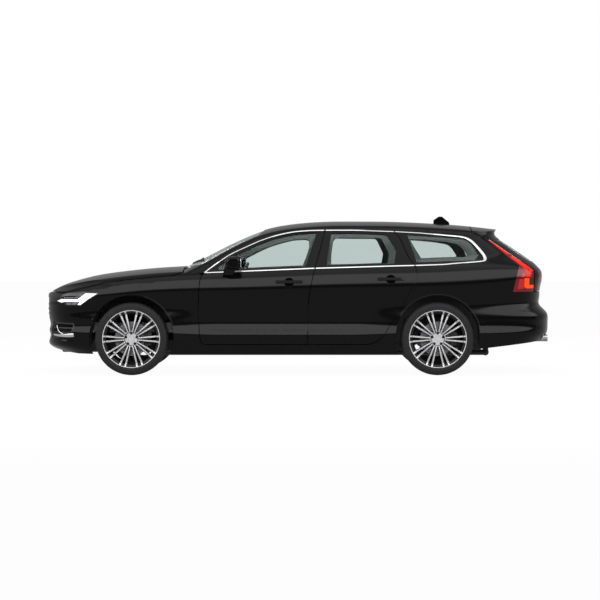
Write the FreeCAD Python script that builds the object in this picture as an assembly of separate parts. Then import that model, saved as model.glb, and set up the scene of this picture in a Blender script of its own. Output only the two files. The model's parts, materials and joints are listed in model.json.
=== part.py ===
import FreeCAD, Part
import math
import os

V = FreeCAD.Vector

# Frame: millimetres, X towards the tail, Y towards the car's right side, Z up.
# The origin is on the floor, midway along and across the car.

# Driving dimensions
LENGTH = 4936.0
WIDTH = 1880.0
HEIGHT = 1490.0
WHEELBASE = 2941.0
FRONT_OVERHANG = 872.0
TRACK = 1628.0
TYRE_RADIUS = 350.0
TYRE_WIDTH = 255.0
GAP = 7.0                 # between panels that part
TAIL_GAP = 10.0           # round the tailgate
SEAT = 0.2                # between curved pieces that stay together
FIT = 0.3                 # round a turning pin

# Body walls
SKIN = 22.0               # wings, bumpers
BONNET_THICK = 25.0
FLANGE = 18.0             # outer rim of a door
RABBET = 40.0             # depth of the step a door closes into
LIP = 45.0                # width of that step
DOOR_SET = 56.0           # rim width beside a door's thick part
WALL_LOW = 120.0          # whole wall below the windows
WALL_HIGH = 48.0          # and beside them
WALL_TAIL = 60.0
ROOF_THICK = 45.0
GLASS_DEPTH = 8.0
GLASS_THICK = 5.0
LAMP_DEPTH = 60.0
SPLIT = 600.0             # roof and floor end here, body sides begin

# Heights and stations
SILL_BOTTOM = 203.0
FLOOR_BOTTOM = 235.0
FLOOR_TOP = 270.0
LOAD_BOTTOM = 450.0
LOAD_TOP = 480.0
KICK_X = 880.0            # where the load floor begins
KICK_THICK = 20.0
COWL_X = -1130.0          # front of the bulkhead
BULKHEAD_THICK = 30.0
BONNET_END = -1098.0
COWL_FRONT = -1088.0
PAD = 400.0               # how far cutting shapes reach past the body
MEND = 0.01               # tolerance for mending a seam

# Shape of the surfaces
BELT_REF = 1000.0
LOWER_REF = 500.0
HAUNCH_FROM = 930.0
HAUNCH_RISE = 140.0
BLEND_FROM = 880.0
BLEND_RISE = 100.0
CORNER_START = 1400.0     # where nose and tail start to curve in, from the middle
NOSE_POWER = 3.1
TAIL_POWER = 3.6
CROWN_BONNET = 62.0
CROWN_ROOF = 62.0
CROWN_SCREEN = 22.0
SCREEN_FROM = -300.0
SCREEN_RUN = 700.0
ROUND_BONNET = 30.0
ROUND_ROOF = 34.0
EDGE_DROP = 70.0
TOP_DEEP = 1400.0
CROWN_POWER = 2.4
ROUND_SHARE = 0.90
EASE_SHARE = 0.80
HOLLOW_FROM = -1250.0     # the doors' lower hollow fades in over the run and out again
HOLLOW_TO = 1000.0
HOLLOW_RUN = 500.0
HOLLOW_Z = 510.0
HOLLOW_HALF = 170.0
FLARE_OUT = 17.0          # how far the flanks fill out beside the wheels

FRONT = -LENGTH / 2
FRONT_AXLE = FRONT + FRONT_OVERHANG
REAR_AXLE = FRONT_AXLE + WHEELBASE

# Tables are shares: (share of the length from the nose, share of the height).
BONNET_LINE_SHARES = [
    (-0.0004, 0.5168), (0.0097, 0.5396), (0.0259, 0.5705), (0.0581, 0.6087), (0.0902, 0.6369),
    (0.1386, 0.6631), (0.2028, 0.6866), (0.2508, 0.6980), (0.2771, 0.7027)]
CABIN_LINE_SHARES = [
    (0.2834, 0.7134), (0.2994, 0.7389), (0.3316, 0.7940), (0.3639, 0.8483), (0.3961, 0.8973),
    (0.4283, 0.9389), (0.4605, 0.9664), (0.4925, 0.9826), (0.5247, 0.9926), (0.5608, 0.9987),
    (0.6135, 1.0000), (0.6823, 0.9980), (0.7340, 0.9919), (0.7836, 0.9832), (0.8306, 0.9718),
    (0.8949, 0.9483), (1.0000, 0.9060)]
BELT_SHARES = [
    (0.0000, 0.5302), (0.0543, 0.5671), (0.1151, 0.6074), (0.1961, 0.6409), (0.2771, 0.6597),
    (0.3321, 0.6658), (0.4309, 0.6758), (0.5338, 0.6913), (0.6793, 0.7047), (0.7840, 0.7168),
    (0.8462, 0.7302), (1.0000, 0.7584)]
# (share of the length, share of half the width) lost at the shoulder
HAUNCH_SHARES = [
    (0.0000, 0.0638), (0.2771, 0.0638), (0.3582, 0.0298), (0.4392, 0.0043), (0.5203, 0.0),
    (0.6418, 0.0021), (0.7431, 0.0234), (0.8647, 0.0660), (1.0000, 0.1170)]
# (share of the height, share of half the width) lost by each side
INSET_SHARES = [
    (0.1007, 0.0904), (0.1342, 0.0585), (0.2013, 0.0213), (0.2685, 0.0021), (0.3087, 0.0213),
    (0.3758, 0.0255), (0.4698, 0.0128), (0.5503, 0.0021), (0.6040, 0.0096), (0.6443, 0.0319),
    (0.6711, 0.0617), (0.6980, 0.0830), (0.7383, 0.1149), (0.8054, 0.1702), (0.8725, 0.2298),
    (0.9295, 0.2851), (0.9732, 0.3319), (1.0738, 0.4468)]
# (share of the height, share of the length) the nose and the tail stand back
NOSE_SHARES = [
    (0.1007, 0.0361), (0.1409, 0.0280), (0.1678, 0.0118), (0.1913, 0.0018), (0.2148, 0.0014),
    (0.2389, 0.0053), (0.2685, 0.0026), (0.3128, 0.0036), (0.3624, 0.0008), (0.4866, 0.0000),
    (0.5114, 0.0006), (0.5362, 0.0034), (0.5611, 0.0138), (0.6040, 0.0280), (1.0738, 0.0280)]
TAIL_SHARES = [
    (0.1007, 0.0280), (0.1678, 0.0199), (0.2242, 0.0107), (0.2490, 0.0047), (0.2752, 0.0012),
    (0.3221, 0.0000), (0.3758, 0.0000), (0.4000, 0.0026), (0.4248, 0.0109), (0.4497, 0.0168),
    (0.4993, 0.0170), (0.5490, 0.0162), (0.5738, 0.0150), (0.5987, 0.0130), (0.6483, 0.0120),
    (0.6732, 0.0138), (0.6980, 0.0199), (0.7221, 0.0271), (0.7718, 0.0462), (0.8215, 0.0687),
    (0.8711, 0.0918), (0.8960, 0.1035), (0.9396, 0.1019), (1.0738, 0.1019)]
ROW_SHARES = [
    0.1007, 0.1409, 0.1812, 0.2215, 0.2550, 0.2819, 0.3154, 0.3557, 0.4027, 0.4497, 0.4966, 0.5369,
    0.5705, 0.6040, 0.6309, 0.6510, 0.6711, 0.6913, 0.7181, 0.7517, 0.7919, 0.8322, 0.8725, 0.9128,
    0.9597, 1.0134, 1.0738]
BONNET_STATION_SHARES = [
    -0.0267, -0.0105, -0.0004, 0.0097, 0.0259, 0.0421, 0.0581, 0.0902, 0.1224, 0.1546, 0.1868,
    0.2188, 0.2447, 0.2700, 0.2950, 0.3200]
CABIN_STATION_SHARES = [
    0.2600, 0.2700, 0.2780, 0.2834, 0.2893, 0.2994, 0.3156, 0.3316, 0.3639, 0.3961, 0.4283,
    0.4605, 0.4925, 0.5247, 0.5608, 0.6135, 0.6823, 0.7340, 0.7836, 0.8306, 0.8647, 0.8949,
    0.9450, 1.0267]
ACROSS_SHARES = [0.0, 0.22, 0.44, 0.62, 0.76, 0.86, 0.90, 0.94, 0.97, 1.0, 1.03, 1.12, 1.30, 1.60]

# Outlines seen from the side, stretch by stretch
DOOR_FRONT_EDGE_SHARES = [
    (0.3187, 0.6604), (0.3118, 0.6295), (0.3087, 0.5644), (0.3067, 0.4248), (0.3086, 0.3020),
    (0.3132, 0.2148), (0.3160, 0.1993)]
B_EDGE_SHARES = [
    (0.5197, 0.1993), (0.5197, 0.2758), (0.5213, 0.4866), (0.5257, 0.5738), (0.5336, 0.6913),
    (0.5432, 0.8013), (0.5535, 0.9369)]
C_EDGE_SHARES = [
    (0.6280, 0.1993), (0.6461, 0.2081), (0.6598, 0.2322), (0.6734, 0.2886), (0.6912, 0.3872),
    (0.7060, 0.4631), (0.7164, 0.5302), (0.7251, 0.5785), (0.7315, 0.6281), (0.7336, 0.6631),
    (0.7259, 0.7128), (0.7111, 0.8013), (0.6939, 0.9121), (0.6886, 0.9282)]
TOP_EDGE_SHARES = [
    (0.3187, 0.6604), (0.3414, 0.7161), (0.3691, 0.7785), (0.4007, 0.8295), (0.4305, 0.8725),
    (0.4603, 0.9040), (0.4899, 0.9248), (0.5199, 0.9342), (0.5535, 0.9369)]
REAR_TOP_EDGE_SHARES = [(0.5535, 0.9369), (0.6106, 0.9369), (0.6886, 0.9282)]
FRONT_WINDOW_SHARES = [
    [(0.3460, 0.6805), (0.5154, 0.7013)], [(0.5154, 0.7013), (0.5253, 0.8054), (0.5370, 0.9181)],
    [(0.5370, 0.9181), (0.5199, 0.9154), (0.4899, 0.9054), (0.4603, 0.8839), (0.4305, 0.8517),
     (0.4007, 0.8081), (0.3691, 0.7557), (0.3460, 0.7047)], [(0.3460, 0.7047), (0.3460, 0.6805)]]
REAR_WINDOW_SHARES = [
    [(0.5561, 0.7087), (0.6886, 0.7195)], [(0.6886, 0.7195), (0.6922, 0.8094)],
    [(0.6922, 0.8094), (0.6730, 0.9074)], [(0.6730, 0.9074), (0.6106, 0.9154), (0.5656, 0.9154)],
    [(0.5656, 0.9154), (0.5561, 0.7087)]]
QUARTER_WINDOW_SHARES = [
    [(0.7320, 0.7282), (0.8444, 0.7416)], [(0.8444, 0.7416), (0.8530, 0.7718), (0.8444, 0.8289),
     (0.8323, 0.8691), (0.8221, 0.8846)], [(0.8221, 0.8846), (0.7891, 0.8926), (0.7407, 0.9027),
     (0.7148, 0.9074)], [(0.7148, 0.9074), (0.7320, 0.7282)]]
BONNET_CUT_SHARES = [
    (-0.0065, 0.5369), (0.0138, 0.5356), (0.0466, 0.5336), (0.0776, 0.5611), (0.1165, 0.5893),
    (0.1554, 0.6107), (0.1941, 0.6242), (0.2330, 0.6356), (0.2563, 0.6430), (0.2757, 0.6644)]
HEADLAMP_SHARES = [
    (0.1147, 0.5302), (0.0776, 0.5409), (0.0427, 0.5255), (-0.0265, 0.5181), (-0.0265, 0.4779),
    (0.0340, 0.4698), (0.0476, 0.4477), (0.0748, 0.4503), (0.0932, 0.4866)]
FRONT_BUMPER_SHARES = [
    (-0.0265, 0.5329), (0.0427, 0.5309), (0.0520, 0.5000), (0.0920, 0.4950), (0.1147, 0.5302),
    (0.1321, 0.4993), (0.1450, 0.4600), (0.1450, 0.1336), (0.0700, 0.1370), (0.0441, 0.1477),
    (0.0126, 0.1678), (-0.0040, 0.2013), (-0.0265, 0.2013)]
WING_SHARES = [
    (0.2757, 0.6604), (0.3250, 0.6604), (0.3250, 0.1993), (0.2300, 0.1993), (0.1300, 0.1993),
    (0.0700, 0.4500), (0.0450, 0.5300)]
REAR_BUMPER_SHARES = [
    (0.8300, 0.1650), (0.8300, 0.4180), (0.8359, 0.4289), (0.8598, 0.4456), (0.9046, 0.4651),
    (0.9123, 0.4732), (0.9182, 0.5242), (0.9192, 0.5322), (1.0267, 0.5322), (1.0267, 0.2215),
    (0.9853, 0.2200), (0.8500, 0.1690)]
TAILLAMP_SHARES = [
    (0.8695, 0.8839), (0.9331, 0.7081), (0.9291, 0.6644), (0.9194, 0.5383), (0.9640, 0.5383),
    (0.9640, 0.6779), (0.8793, 0.8725), (0.8793, 0.8839)]
TAILGATE_SHARES = [
    (0.8424, 1.0400), (0.8424, 0.9269), (0.8657, 0.8839), (0.8793, 0.8725), (0.9640, 0.6779),
    (0.9640, 0.5383), (1.0267, 0.5383), (1.0267, 1.0400)]
# Seen from above: (share of the length, share of half the width)
WINDSCREEN_SHARES = [
    [(0.3140, -0.7780), (0.2900, -0.5300), (0.2838, 0), (0.2900, 0.5300), (0.3140, 0.7780)],
    [(0.3140, 0.7780), (0.3650, 0.7020), (0.4230, 0.6230)],
    [(0.4230, 0.6230), (0.4330, 0.3200), (0.4345, 0), (0.4330, -0.3200), (0.4230, -0.6230)],
    [(0.4230, -0.6230), (0.3650, -0.7020), (0.3140, -0.7780)]]
# Seen from the front or the back: (share of half the width, share of the height)
GRILLE_SHARES = [(-0.46, 0.500), (0.46, 0.500), (0.485, 0.400), (0.35, 0.222), (-0.35, 0.222), (-0.485, 0.400)]
INTAKE_SHARES = [(0.60, 0.345), (0.86, 0.335), (0.86, 0.245), (0.52, 0.232)]
BACK_WINDOW_SHARES = [(-0.585, 0.735), (0.585, 0.735), (0.520, 0.880), (-0.520, 0.880)]
BACK_LAMP_SHARES = [(0.40, 0.675), (0.645, 0.675), (0.645, 0.555), (0.44, 0.560)]
FRONT_LAMP_FROM = 470.0


def natural_spline(points):
    """value(t) of a natural cubic spline through (t, value), straight beyond its ends"""
    t = [p[0] for p in points]
    y = [p[1] for p in points]
    n = len(t)
    h = [t[i + 1] - t[i] for i in range(n - 1)]
    b, d = [1.0] * n, [0.0] * n
    for i in range(1, n - 1):
        b[i] = 2 * (h[i - 1] + h[i])
        d[i] = 6 * ((y[i + 1] - y[i]) / h[i] - (y[i] - y[i - 1]) / h[i - 1])
    for i in range(2, n - 1):
        w = h[i - 1] / b[i - 1]
        b[i] -= w * h[i - 1]
        d[i] -= w * d[i - 1]
    m = [0.0] * n
    for i in range(n - 2, 0, -1):
        m[i] = (d[i] - h[i] * m[i + 1]) / b[i]

    def value(x):
        if x <= t[0]:
            return y[0] + (x - t[0]) * ((y[1] - y[0]) / h[0] - h[0] * (2 * m[0] + m[1]) / 6)
        if x >= t[-1]:
            return y[-1] + (x - t[-1]) * ((y[-1] - y[-2]) / h[-1] + h[-1] * (m[-2] + 2 * m[-1]) / 6)
        i = max(k for k in range(n - 1) if t[k] <= x)
        p = (t[i + 1] - x) / h[i]
        q = 1 - p
        return p * y[i] + q * y[i + 1] + ((p ** 3 - p) * m[i] + (q ** 3 - q) * m[i + 1]) * h[i] ** 2 / 6
    return value


def smooth(t):
    t = max(0.0, min(1.0, t))
    return t * t * (3 - 2 * t)


def side_point(share):
    return (FRONT + share[0] * LENGTH, share[1] * HEIGHT)


bonnet_line = natural_spline([side_point(p) for p in BONNET_LINE_SHARES])
cabin_line = natural_spline([side_point(p) for p in CABIN_LINE_SHARES])
belt_line = natural_spline([side_point(p) for p in BELT_SHARES])
haunch_line = natural_spline([(FRONT + a * LENGTH, b * WIDTH / 2) for a, b in HAUNCH_SHARES])
inset_line = natural_spline([(a * HEIGHT, b * WIDTH / 2) for a, b in INSET_SHARES])
nose_line = natural_spline([(a * HEIGHT, FRONT + b * LENGTH) for a, b in NOSE_SHARES])
tail_line = natural_spline([(a * HEIGHT, -FRONT - b * LENGTH) for a, b in TAIL_SHARES])


def level(x, z):
    """height as if the belt line ran level at BELT_REF"""
    belt = belt_line(x)
    if z > belt:
        return BELT_REF + z - belt
    if z > LOWER_REF:
        return LOWER_REF + (z - LOWER_REF) * (BELT_REF - LOWER_REF) / (belt - LOWER_REF)
    return z


def flare(x, at):
    """how far the flank stands out beside the wheels, where the doors are hollow"""
    hollow = smooth((x - HOLLOW_FROM) / HOLLOW_RUN) * smooth((HOLLOW_TO - x) / HOLLOW_RUN)
    return FLARE_OUT * (1 - hollow) * smooth(1 - abs(at - HOLLOW_Z) / HOLLOW_HALF)


def half_width(x, z, wall=(0.0, 0.0)):
    """distance from the middle plane to the side, less a wall that may thin above the belt"""
    at = level(x, z)
    thick = wall[0] + (wall[1] - wall[0]) * smooth((at - BLEND_FROM) / BLEND_RISE)
    shoulder = haunch_line(x) * smooth((at - HAUNCH_FROM) / HAUNCH_RISE)
    return WIDTH / 2 - inset_line(at) - shoulder + flare(x, at) - thick


def ring(z, wall, ends, corner_steps=9, side_steps=16):
    """closed row of points round the car at one height, from the middle of the tail"""
    tail = tail_line(z) - ends
    nose = nose_line(z) + ends
    row = []
    for i in range(corner_steps + 1):
        a = math.pi / 2 * i / corner_steps
        x = CORNER_START + (tail - CORNER_START) * abs(math.cos(a)) ** (2 / TAIL_POWER)
        row.append((x, half_width(x, z, wall) * math.sin(a) ** (2 / TAIL_POWER)))
    row[-1] = (CORNER_START, half_width(CORNER_START, z, wall))
    for i in range(1, side_steps):
        x = CORNER_START - 2 * CORNER_START * i / side_steps
        row.append((x, half_width(x, z, wall)))
    for i in range(corner_steps + 1):
        a = math.pi / 2 * (1 - i / corner_steps)
        x = -CORNER_START + (nose + CORNER_START) * abs(math.cos(a)) ** (2 / NOSE_POWER)
        row.append((x, half_width(x, z, wall) * math.sin(a) ** (2 / NOSE_POWER)))
    row[-1] = (nose, 0.0)
    return [V(x, -y, z) for x, y in row] + [V(x, y, z) for x, y in reversed(row[:-1])]


def skin_through(rows, along_row, along_rows, closed):
    """surface exactly through a grid of points"""
    curves = []
    for row in rows:
        curve = Part.BSplineCurve()
        if closed:
            curve.interpolate(Points=row[:-1], Parameters=along_row, PeriodicFlag=True)
        else:
            curve.interpolate(Points=row, Parameters=along_row)
        curves.append(curve)
    columns = []
    poles = [c.getPoles() for c in curves]
    for j in range(len(poles[0])):
        column = Part.BSplineCurve()
        column.interpolate(Points=[p[j] for p in poles], Parameters=along_rows)
        columns.append(column)
    surface = Part.BSplineSurface()
    surface.buildFromPolesMultsKnots(
        [c.getPoles() for c in columns], curves[0].getMultiplicities(), columns[0].getMultiplicities(),
        curves[0].getKnots(), columns[0].getKnots(), closed, False, curves[0].Degree, columns[0].Degree)
    return surface.toShape()


def wrap(wall, ends):
    """solid inside the car's sides, nose and tail"""
    heights = [s * HEIGHT for s in ROW_SHARES]
    rows = [ring(z, wall, ends) for z in heights]
    middle = rows[len(rows) // 3]
    along = [0.0]
    for a, b in zip(middle, middle[1:]):
        along.append(along[-1] + (b - a).Length)
    face = skin_through(rows, along, heights, True)
    low = min(face.Edges, key=lambda e: e.BoundBox.ZMax)
    high = max(face.Edges, key=lambda e: e.BoundBox.ZMin)
    solid = Part.Solid(Part.Shell([face, Part.Face(Part.Wire([low])), Part.Face(Part.Wire([high]))]))
    if not solid.isValid():
        solid.fix(MEND, MEND, MEND)
    if solid.Volume < 0:
        solid.reverse()
    return solid


def under(line, stations, crown, rounding, edge, drop):
    """solid under a crowned surface whose middle follows line"""
    shares = [-s for s in reversed(ACROSS_SHARES)] + ACROSS_SHARES[1:]
    rows = []
    for s in stations:
        x = FRONT + s * LENGTH
        row = []
        for r in shares:
            fall = crown(x) * abs(r) ** CROWN_POWER
            past = max(0.0, abs(r) - 1.0)
            fall += rounding * (max(0.0, abs(r) - past - ROUND_SHARE) / (1 - ROUND_SHARE)) ** 2
            fall += rounding * past * EASE_SHARE / (1 - ROUND_SHARE)
            row.append(V(x, r * edge(x), line(x) - fall - drop))
        rows.append(row)
    face = skin_through(rows, shares, stations, False)
    return face.extrude(V(0, 0, -TOP_DEEP))


def bonnet_edge(x):
    return half_width(x, belt_line(x))


def cabin_edge(x):
    return half_width(x, cabin_line(x) - EDGE_DROP)


def cabin_crown(x):
    return CROWN_ROOF + CROWN_SCREEN * smooth((SCREEN_FROM - x) / SCREEN_RUN)


made = {}


def front_layer(depth):
    """everything deeper than depth, ahead of the windscreen"""
    key = ("front", depth)
    if key not in made:
        top = under(bonnet_line, BONNET_STATION_SHARES, lambda x: CROWN_BONNET, ROUND_BONNET,
                    bonnet_edge, depth)
        made[key] = wrap((depth, depth), depth).common(top)
    return made[key]


def cabin_layer(low, high=None, ends=None, roof=None):
    """everything deeper than the given walls, from the windscreen back"""
    high = low if high is None else high
    ends = low if ends is None else ends
    roof = low if roof is None else roof
    key = ("cabin", low, high, ends, roof)
    if key not in made:
        top = under(cabin_line, CABIN_STATION_SHARES, cabin_crown, ROUND_ROOF, cabin_edge, roof)
        made[key] = wrap((low, high), ends).common(top)
    return made[key]


def box(x0, x1, y0, y1, z0, z1):
    return Part.makeBox(x1 - x0, y1 - y0, z1 - z0, V(x0, y0, z0))


def edge_through(points):
    if len(points) == 2:
        return Part.makeLine(points[0], points[1])
    curve = Part.BSplineCurve()
    curve.interpolate(Points=points)
    return curve.toShape()


def crossing(first, second):
    """last crossing of one polyline with the next: (point, index in first, index in second)"""
    for i in range(len(first) - 2, -1, -1):
        (ax, ay), (bx, by) = first[i], first[i + 1]
        for j in range(len(second) - 1):
            (cx, cy), (dx, dy) = second[j], second[j + 1]
            det = (bx - ax) * (dy - cy) - (by - ay) * (dx - cx)
            if abs(det) > 0:
                s = ((cx - ax) * (dy - cy) - (cy - ay) * (dx - cx)) / det
                t = ((cx - ax) * (by - ay) - (cy - ay) * (bx - ax)) / det
                if 0 <= s <= 1 and 0 <= t <= 1:
                    return (ax + s * (bx - ax), ay + s * (by - ay)), i, j
    (ax, ay), (cx, cy) = first[-2], second[1]
    return ((ax + cx) / 2, (ay + cy) / 2), len(first) - 3, 1


def grown(stretches, grow, samples=14):
    """the outline moved outwards by grow, each stretch trimmed where it meets the next"""
    flat = [p for s in stretches for p in s[:-1]]
    area = sum(p[0] * q[1] - q[0] * p[1] for p, q in zip(flat, flat[1:] + flat[:1]))
    side = grow if area > 0 else -grow
    moved = []
    for s in stretches:
        line = []
        if len(s) == 2:
            steps = [(V(p[0], p[1], 0), V(s[1][0] - s[0][0], s[1][1] - s[0][1], 0)) for p in s]
        else:
            edge = edge_through([V(p[0], p[1], 0) for p in s])
            lo, hi = edge.ParameterRange
            steps = []
            for i in range(samples + 1):
                u = lo + (hi - lo) * i / samples
                steps.append((edge.valueAt(u), edge.tangentAt(u)))
        for point, way in steps:
            way = V(way).normalize()
            line.append((point.x + way.y * side, point.y - way.x * side))
        first, last = V(steps[0][1]).normalize(), V(steps[-1][1]).normalize()
        reach = 3 * abs(grow)
        line.insert(0, (line[0][0] - first.x * reach, line[0][1] - first.y * reach))
        line.append((line[-1][0] + last.x * reach, line[-1][1] + last.y * reach))
        moved.append(line)
    meets = [crossing(moved[k], moved[(k + 1) % len(moved)]) for k in range(len(moved))]
    trimmed = []
    for k, line in enumerate(moved):
        start, _, first = meets[k - 1]
        end, last, _ = meets[k]
        inner = line[first + 1:last + 1]
        if len(stretches[k]) == 2:
            inner = []
        near = abs(grow) / 2
        while inner and V(inner[0][0] - start[0], inner[0][1] - start[1], 0).Length < near:
            inner.pop(0)
        while inner and V(inner[-1][0] - end[0], inner[-1][1] - end[1], 0).Length < near:
            inner.pop()
        trimmed.append([start] + inner + [end])
    return trimmed


def prism(stretches, place, along, grow=0.0):
    """outline made of stretches in millimetres, widened by grow, placed in space and extruded"""
    if grow:
        stretches = grown(stretches, grow)
    wire = Part.Wire([edge_through([place(p) for p in s]) for s in stretches])
    return Part.Face(wire).extrude(along)


def corners(points):
    return [[a, b] for a, b in zip(points, points[1:] + points[:1])]


def left_prism(stretches, grow=0.0, inner=0.0):
    """side outline cut through the left half, from PAD outside it to y = inner"""
    flat = [[side_point(p) for p in s] for s in stretches]
    return prism(flat, lambda p: V(p[0], -WIDTH / 2 - PAD, p[1]), V(0, WIDTH / 2 + PAD + inner, 0), grow)


def across_prism(stretches, grow=0.0):
    """side outline cut through both halves"""
    return left_prism(stretches, grow, WIDTH / 2 + PAD)


def plan_prism(stretches, low, high, grow=0.0):
    flat = [[(FRONT + p[0] * LENGTH, p[1] * WIDTH / 2) for p in s] for s in stretches]
    return prism(flat, lambda p: V(p[0], p[1], low), V(0, 0, high - low), grow)


def end_prism(points, from_x, to_x, grow=0.0):
    flat = [[(p[0] * WIDTH / 2, p[1] * HEIGHT) for p in s] for s in corners(points)]
    return prism(flat, lambda p: V(from_x, p[0], p[1]), V(to_x - from_x, 0, 0), grow)


def mirrored(shape):
    return shape.mirror(V(0, 0, 0), V(0, 1, 0))


def one(shape):
    """largest solid of a shape"""
    return max(shape.Solids, key=lambda s: s.Volume)


def group(shapes):
    return Part.makeCompound([s for shape in shapes for s in shape.Solids])


def pair(shape):
    return group([shape, mirrored(shape)])


os.makedirs("parts", exist_ok=True)


def save(name, shape):
    solids = shape.Solids
    shape = solids[0] if len(solids) == 1 else Part.makeCompound(solids)
    print(name, len(solids), "valid" if shape.isValid() else "NOT VALID", round(shape.Volume))
    shape.exportStep("parts/" + name + ".step")


def cylinder_y(x, z, radius, y0, y1):
    return Part.makeCylinder(radius, y1 - y0, V(x, y0, z), V(0, 1, 0))


def cylinder_z(x, y, radius, z0, z1):
    return Part.makeCylinder(radius, z1 - z0, V(x, y, z0), V(0, 0, 1))


def rounded(shape, radius, along):
    """a box with the edges along one direction rounded"""
    edges = [e for e in shape.Edges if abs(e.tangentAt(e.FirstParameter).dot(along)) > 1 / 2]
    return shape.makeFillet(radius, edges)


def round_bar(x, z, length, height):
    """bar with round ends, seen from the side, through the left half"""
    r, y = height / 2, -WIDTH
    a, b = x - length / 2 + r, x + length / 2 - r
    edges = [Part.makeLine(V(a, y, z + r), V(b, y, z + r)),
             Part.Arc(V(b, y, z + r), V(b + r, y, z), V(b, y, z - r)).toShape(),
             Part.makeLine(V(b, y, z - r), V(a, y, z - r)),
             Part.Arc(V(a, y, z - r), V(a - r, y, z), V(a, y, z + r)).toShape()]
    return Part.Face(Part.Wire(edges)).extrude(V(0, WIDTH, 0))


HINGE_PLAY = 1.0
LID_EYE = 6.0             # hinges of bonnet and tailgate
LID_PIN = 3.5
LID_ARM_HALF = 7.0
LID_LUG_WIDE = 14.0


def lid_hinge(x, y, z, arm_low, slot_from, slot_to):
    """one lid hinge: the body's upright arm with its pin, the slot and the bore in the lid"""
    reach = LID_ARM_HALF + LID_LUG_WIDE
    arm = box(x - LID_EYE, x + LID_EYE, y - LID_ARM_HALF, y + LID_ARM_HALF, arm_low, z).fuse(
        [cylinder_y(x, z, LID_EYE, y - LID_ARM_HALF, y + LID_ARM_HALF),
         cylinder_y(x, z, LID_PIN, y - reach, y + reach)])
    play = LID_ARM_HALF + HINGE_PLAY
    slot = box(slot_from, slot_to, y - play, y + play, arm_low, z + LID_EYE + HINGE_PLAY)
    bore = cylinder_y(x, z, LID_PIN + FIT, y - reach - HINGE_PLAY, y + reach + HINGE_PLAY)
    return arm, [slot, bore]


def reversed_line(points):
    return list(reversed(points))


# Doors and the holes they close
FRONT_DOOR = [[DOOR_FRONT_EDGE_SHARES[-1], B_EDGE_SHARES[0]], B_EDGE_SHARES,
              reversed_line(TOP_EDGE_SHARES), DOOR_FRONT_EDGE_SHARES]
REAR_DOOR = [[B_EDGE_SHARES[0], C_EDGE_SHARES[0]], C_EDGE_SHARES,
             reversed_line(REAR_TOP_EDGE_SHARES), reversed_line(B_EDGE_SHARES)]
FRONT_HINGE_X = -904.0
REAR_HINGE_X = 152.0
HINGE_Y = 927.0
HINGE_SHARES = (0.2685, 0.5503)   # height of each door hinge
SWEEP_RADIUS = 66.0       # room round a hinge pin for the door's turning edge
EYE_RADIUS = 7.0
HINGE_PIN = 4.5
HINGE_ARM_TALL = 18.0
HINGE_LUG_TALL = 14.0
HINGE_LUG_HALF = 10.0
HINGE_LUG_DEEP = 14.0
HINGE_SLOT = 5.0
ARM_ROOT_FROM = 40.0      # root of a hinge arm: ahead of the pin and inwards
ARM_ROOT_TO = 12.0
ARM_ROOT_IN = 84.0
HANDLE_SHARES = [(0.4834, 0.6040), (0.6811, 0.6228)]   # middle of each left handle
HANDLE_OUT = 26.0
HANDLE_FOOT_OUT = 12.0
HANDLE_LENGTH = 262.0
HANDLE_HEIGHT = 26.0
HANDLE_FOOT = 42.0
HANDLE_FOOT_SHARE = 0.8
CUP_RADIUS = 72.0         # hollow for the fingers behind each handle
CUP_DEEP = 18.0
REST_WIDE = 52.0          # arm rest inside each door: (from, to, height) of its middle line
REST_FACE = 738.0
REST_BACK = 840.0
REST_ROUND = 16.0
REST_SHARES = [(0.3870, 0.4920, 0.4460), (0.5620, 0.6570, 0.4560)]
POCKET_FACE = 846.0       # door pocket: (from, to, bottom, top)
POCKET_ROUND = 14.0
POCKET_SHARES = [(0.3790, 0.4760, 0.2280, 0.3150), (0.5660, 0.6200, 0.2280, 0.3150)]

out = cabin_layer(0.0)
cavity_all = cabin_layer(WALL_LOW, WALL_HIGH, WALL_TAIL, ROOF_THICK)
flange_core = cabin_layer(FLANGE)
rabbet_core = cabin_layer(RABBET)
glass_outer = cabin_layer(GLASS_DEPTH)
glass_inner = cabin_layer(GLASS_DEPTH + GLASS_THICK)
back_core = cabin_layer(SKIN + SEAT)


def glass_in(cut):
    return one(cut.common(glass_outer).cut(glass_inner))


def handle(x, z):
    """pull handle: a bar off the skin on two feet"""
    bar = round_bar(x, z, HANDLE_LENGTH, HANDLE_HEIGHT)
    grip = bar.common(cabin_layer(-HANDLE_OUT)).cut(cabin_layer(-HANDLE_FOOT_OUT))
    feet = []
    for side in (-1, 1):
        middle = x + side * (HANDLE_LENGTH - HANDLE_HEIGHT - HANDLE_FOOT) / 2
        foot = round_bar(middle, z, HANDLE_FOOT, HANDLE_HEIGHT * HANDLE_FOOT_SHARE)
        feet.append(foot.common(cabin_layer(-HANDLE_OUT + FLANGE / 2)).cut(cabin_layer(FLANGE)))
    return grip.fuse(feet)


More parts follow.
